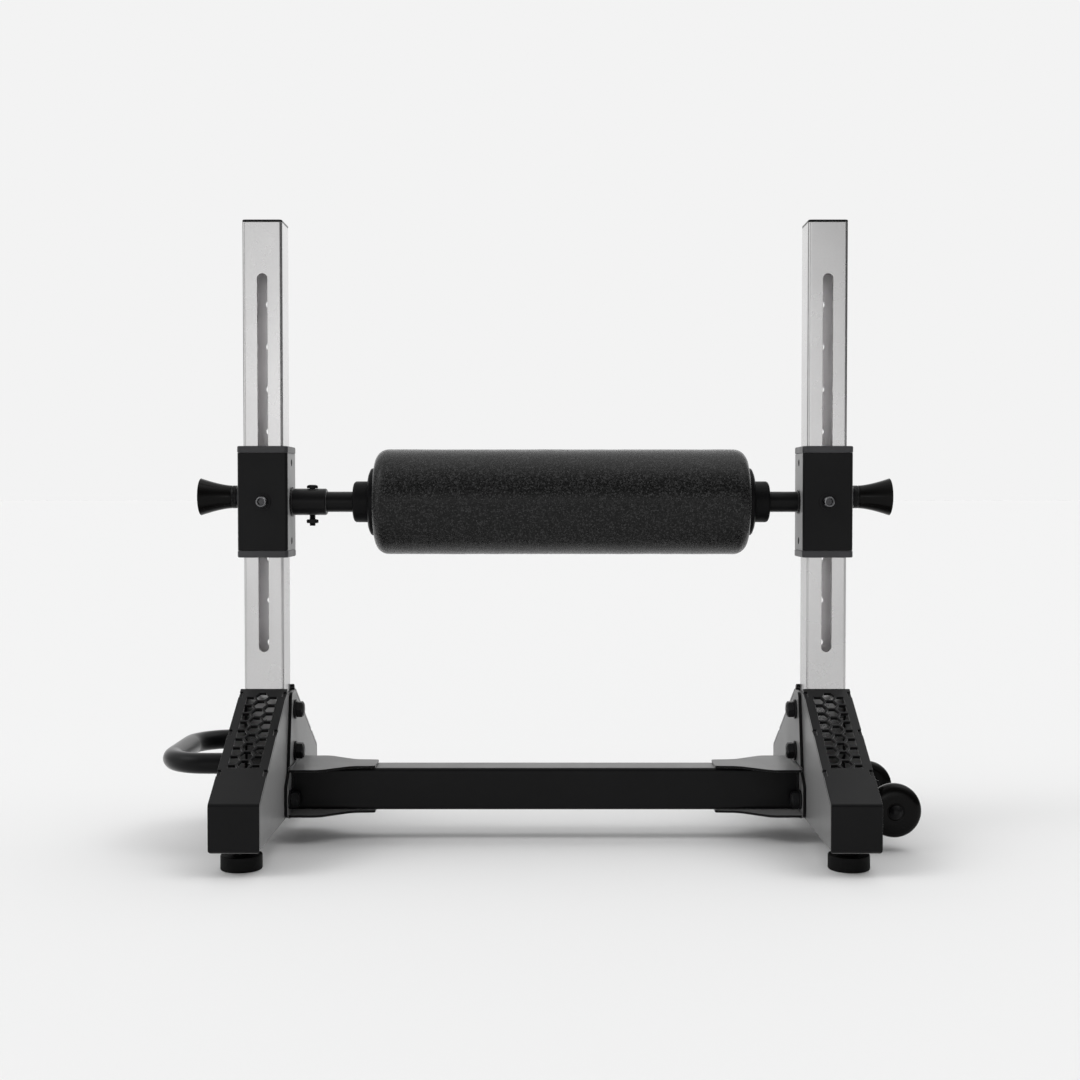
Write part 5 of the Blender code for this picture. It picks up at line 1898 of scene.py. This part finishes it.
@dataclass
class Roller:
    """Foam roller on a core tube, with a plastic hub and a bush in each end."""

    foam: float = 0.0666
    edge: float = 0.0168
    core: float = 0.030
    core_wall: float = 0.002
    flange: float = 0.0425
    hub: float = 0.026
    bush: float = 0.0163
    ring_step: float = 0.0075
    rings: int = 28

    def build(self) -> None:
        """Build the foam, the core, the hubs and the bushes."""
        self.foam_body()
        self.core_tube()
        self.hubs()

    def foam_body(self) -> None:
        """Foam cylinder with rounded ends and a slightly uneven skin."""
        box = Box.of("roller_foam")
        at = box.centre
        half = box.size.x / 2
        arc = [math.pi / 2 * k / 10 for k in range(11)]
        end = [
            (half - self.edge * (1 - math.sin(t)), self.foam - self.edge * (1 - math.cos(t)))
            for t in arc
        ]
        bore = self.core + GAP
        places = range(-self.rings, self.rings + 1)
        middle_rings = [(x * self.ring_step, self.foam) for x in places]
        outside = [(-x, r) for x, r in reversed(end)] + middle_rings + end
        profile = [(-half, bore), *outside, (half, bore)]
        foam = turned("foam_roll", ALONG_X, at, profile, 160, ring=True)
        texture = bpy.data.textures.new("foam_waves", "CLOUDS")
        texture.noise_scale = 0.03
        modify(
            foam, "DISPLACE", texture=texture, strength=0.0006, mid_level=0.62,
            texture_coords="LOCAL",
        )
        dress(foam, "roller", FOAM, "roller_foam")

    def core_tube(self) -> None:
        """Steel tube inside the foam."""
        box = Box.of("roller_core")
        inner = self.core - self.core_wall
        half = box.size.x / 2
        profile = [(-half, inner), (-half, self.core), (half, self.core), (half, inner)]
        core = turned("core_tube", ALONG_X, box.centre, profile, 64, ring=True)
        dress(core, "roller", DARK_STEEL, "roller_core")

    def hubs(self) -> None:
        """Hubs with a stepped flange, and the bushes in them."""
        box = Box.of("left_roller_hub")
        foam = Box.of("roller_foam")
        seat = foam.low.x - GAP
        at = Vector((seat, 0.0, box.centre.z))
        end = seat - box.low.x
        inner = self.core - self.core_wall - GAP
        bore = self.bush + GAP
        profile = [
            (seat - box.high.x, bore), (seat - box.high.x, inner), (0.0, inner),
            (0.0, self.flange - 0.0003), (0.0005, self.flange), (0.0046, self.flange),
            (0.0058, self.flange - 0.0012), (0.0077, self.flange - 0.0058),
            (0.0077, self.hub + 0.0008), (0.0084, self.hub), (end - 0.0030, self.hub),
            (end - 0.0012, self.hub - 0.0010), (end, self.hub - 0.0030), (end, bore + 0.0004),
            (end - 0.0005, bore),
        ]
        left = turned("left_hub", -ALONG_X, at, profile, 72, ring=True)
        mid = foam.centre.x
        both_sides(left, "roller", HUB_PLASTIC, "roller_hub", plane=mid)
        bush_box = Box.of("left_roller_bush")
        low, high = bush_box.low.x, bush_box.high.x
        shell = [
            (low, 0.0133), (low, self.bush - 0.0004), (low + 0.0004, self.bush), (high, self.bush),
            (high, 0.0133),
        ]
        centre = Vector((0.0, 0.0, box.centre.z))
        left = turned("left_bush", ALONG_X, centre, shell, 48, ring=True)
        both_sides(left, "roller", MOULDED_PLASTIC, "roller_bush", plane=mid)


# The studio


@dataclass(frozen=True)
class SoftLight:
    """One broad patch of light on the tent.

    Attributes:
        towards: Direction from the stand to its middle.
        strength: Brightness at its middle.
        focus: How quickly it fades; 6 falls to half at about 28 degrees.
    """

    towards: tuple[float, float, float]
    strength: float
    focus: float = 6.0

    def level(self, graph: Graph, direction: Socket) -> Socket:
        """Brightness of this patch in a direction."""
        along = graph.add("VectorMath", operation="DOT_PRODUCT")
        graph.set(along.inputs[0], direction)
        graph.set(along.inputs[1], Vector(self.towards).normalized())
        fade = graph.math("MULTIPLY_ADD", along.outputs["Value"], self.focus, -self.focus)
        return graph.math("MULTIPLY", graph.math("EXPONENT", fade), self.strength)


@dataclass
class Studio:
    """Pale floor, soft light and the camera.

    Attributes:
        paper: Brightness of the background.
        floor_tone: Share of light that the floor gives back.
        lights: Patches of light on the tent.
        camera_place: Where the camera stands.
        camera_pitch: Its tilt up from straight down, in degrees.
        lens: Focal length in millimetres.
        shift: Sideways shift of its frame.
        floor_size: Length of the floor's sides.
    """

    paper: float = 0.896
    floor_tone: float = 0.86
    lights: tuple[SoftLight, ...] = (
        SoftLight((-0.04, -1.0, -0.23), 4.6, 16.0),
        SoftLight((-0.75, -0.65, 0.1), 0.45),
        SoftLight((-0.96, -0.28, 0.02), 1.7, 25.0),
        SoftLight((-0.6, 0.0, 0.8), 1.1),
        SoftLight((-0.66, -0.24, 0.7), 4.0, 40.0),
        SoftLight((0.45, 0.0, 0.89), 2.7, 10.0),
        SoftLight((0.0, 0.7, 0.7), 0.55),
        SoftLight((0.0, 1.0, 0.1), 0.65),
        SoftLight((-0.3, 0.95, 0.1), 0.42, 16.0),
        SoftLight((0.4, 0.92, 0.1), 0.65, 12.0),
    )
    camera_place: tuple[float, float, float] = (0.0074, -1.909, 0.4309)
    camera_pitch: float = 88.43
    lens: float = 50.0
    shift: float = -0.0048
    floor_size: float = 900.0

    def build(self) -> None:
        """Build the floor, the light tent and the camera."""
        self.floor()
        self.tent()
        self.camera()
        bpy.context.scene.view_settings.view_transform = "Standard"

    def floor(self) -> None:
        """Pale floor that runs to the horizon."""
        bpy.ops.mesh.primitive_plane_add(size=self.floor_size)
        floor = bpy.context.object
        floor.name = "floor"
        material = bpy.data.materials.new("pale_floor")
        material.use_nodes = True
        shader = material.node_tree.nodes["Principled BSDF"]
        shader.inputs["Base Color"].default_value = (*(self.floor_tone,) * 3, 1.0)
        shader.inputs["Roughness"].default_value = 1.0
        shader.inputs["Specular IOR Level"].default_value = 0.0
        floor.data.materials.append(material)

    def tent(self) -> None:
        """Light tent made of soft patches; the background itself is even."""
        world = bpy.data.worlds.new("light_tent")
        world.use_nodes = True
        bpy.context.scene.world = world
        tree = world.node_tree
        graph = Graph(tree)
        direction = graph.add("TexCoord").outputs["Generated"]
        level = 0.0
        for light in self.lights:
            level = graph.math("ADD", light.level(graph, direction), level)
        tent = tree.nodes["Background"]
        graph.set(tent.inputs["Color"], level)
        paper = graph.add("Background")
        paper.inputs["Color"].default_value = (*(self.paper,) * 3, 1.0)
        rays = graph.add("LightPath").outputs
        seen = graph.math("MAXIMUM", rays["Is Camera Ray"], rays["Is Transmission Ray"])
        choice = graph.add("MixShader")
        graph.set(choice.inputs[0], seen)
        graph.set(choice.inputs[1], tent.outputs[0])
        graph.set(choice.inputs[2], paper.outputs[0])
        tree.links.new(choice.outputs[0], tree.nodes["World Output"].inputs["Surface"])

    def camera(self) -> None:
        """Camera at the picture's place."""
        bpy.ops.object.camera_add(
            location=self.camera_place, rotation=(math.radians(self.camera_pitch), 0.0, 0.0)
        )
        camera = bpy.context.object
        camera.name = "camera"
        camera.data.lens = self.lens
        camera.data.sensor_width = 36.0
        camera.data.shift_x = self.shift
        camera.data.clip_end = 2000.0
        bpy.context.scene.camera = camera


def main() -> None:
    """Build every sub-assembly in order."""
    logging.basicConfig(level=logging.INFO, format="%(name)s: %(message)s")
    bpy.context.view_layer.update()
    for part in (
        Studio(),
        Uprights(),
        Feet(),
        CrossMember(),
        FrameBolts(),
        Handle(),
        Wheels(),
        Sleeves(),
        LockPins(),
        Shaft(),
        Roller(),
    ):
        log.info("building %s", type(part).__name__)
        part.build()


if __name__ == "__main__":
    main()
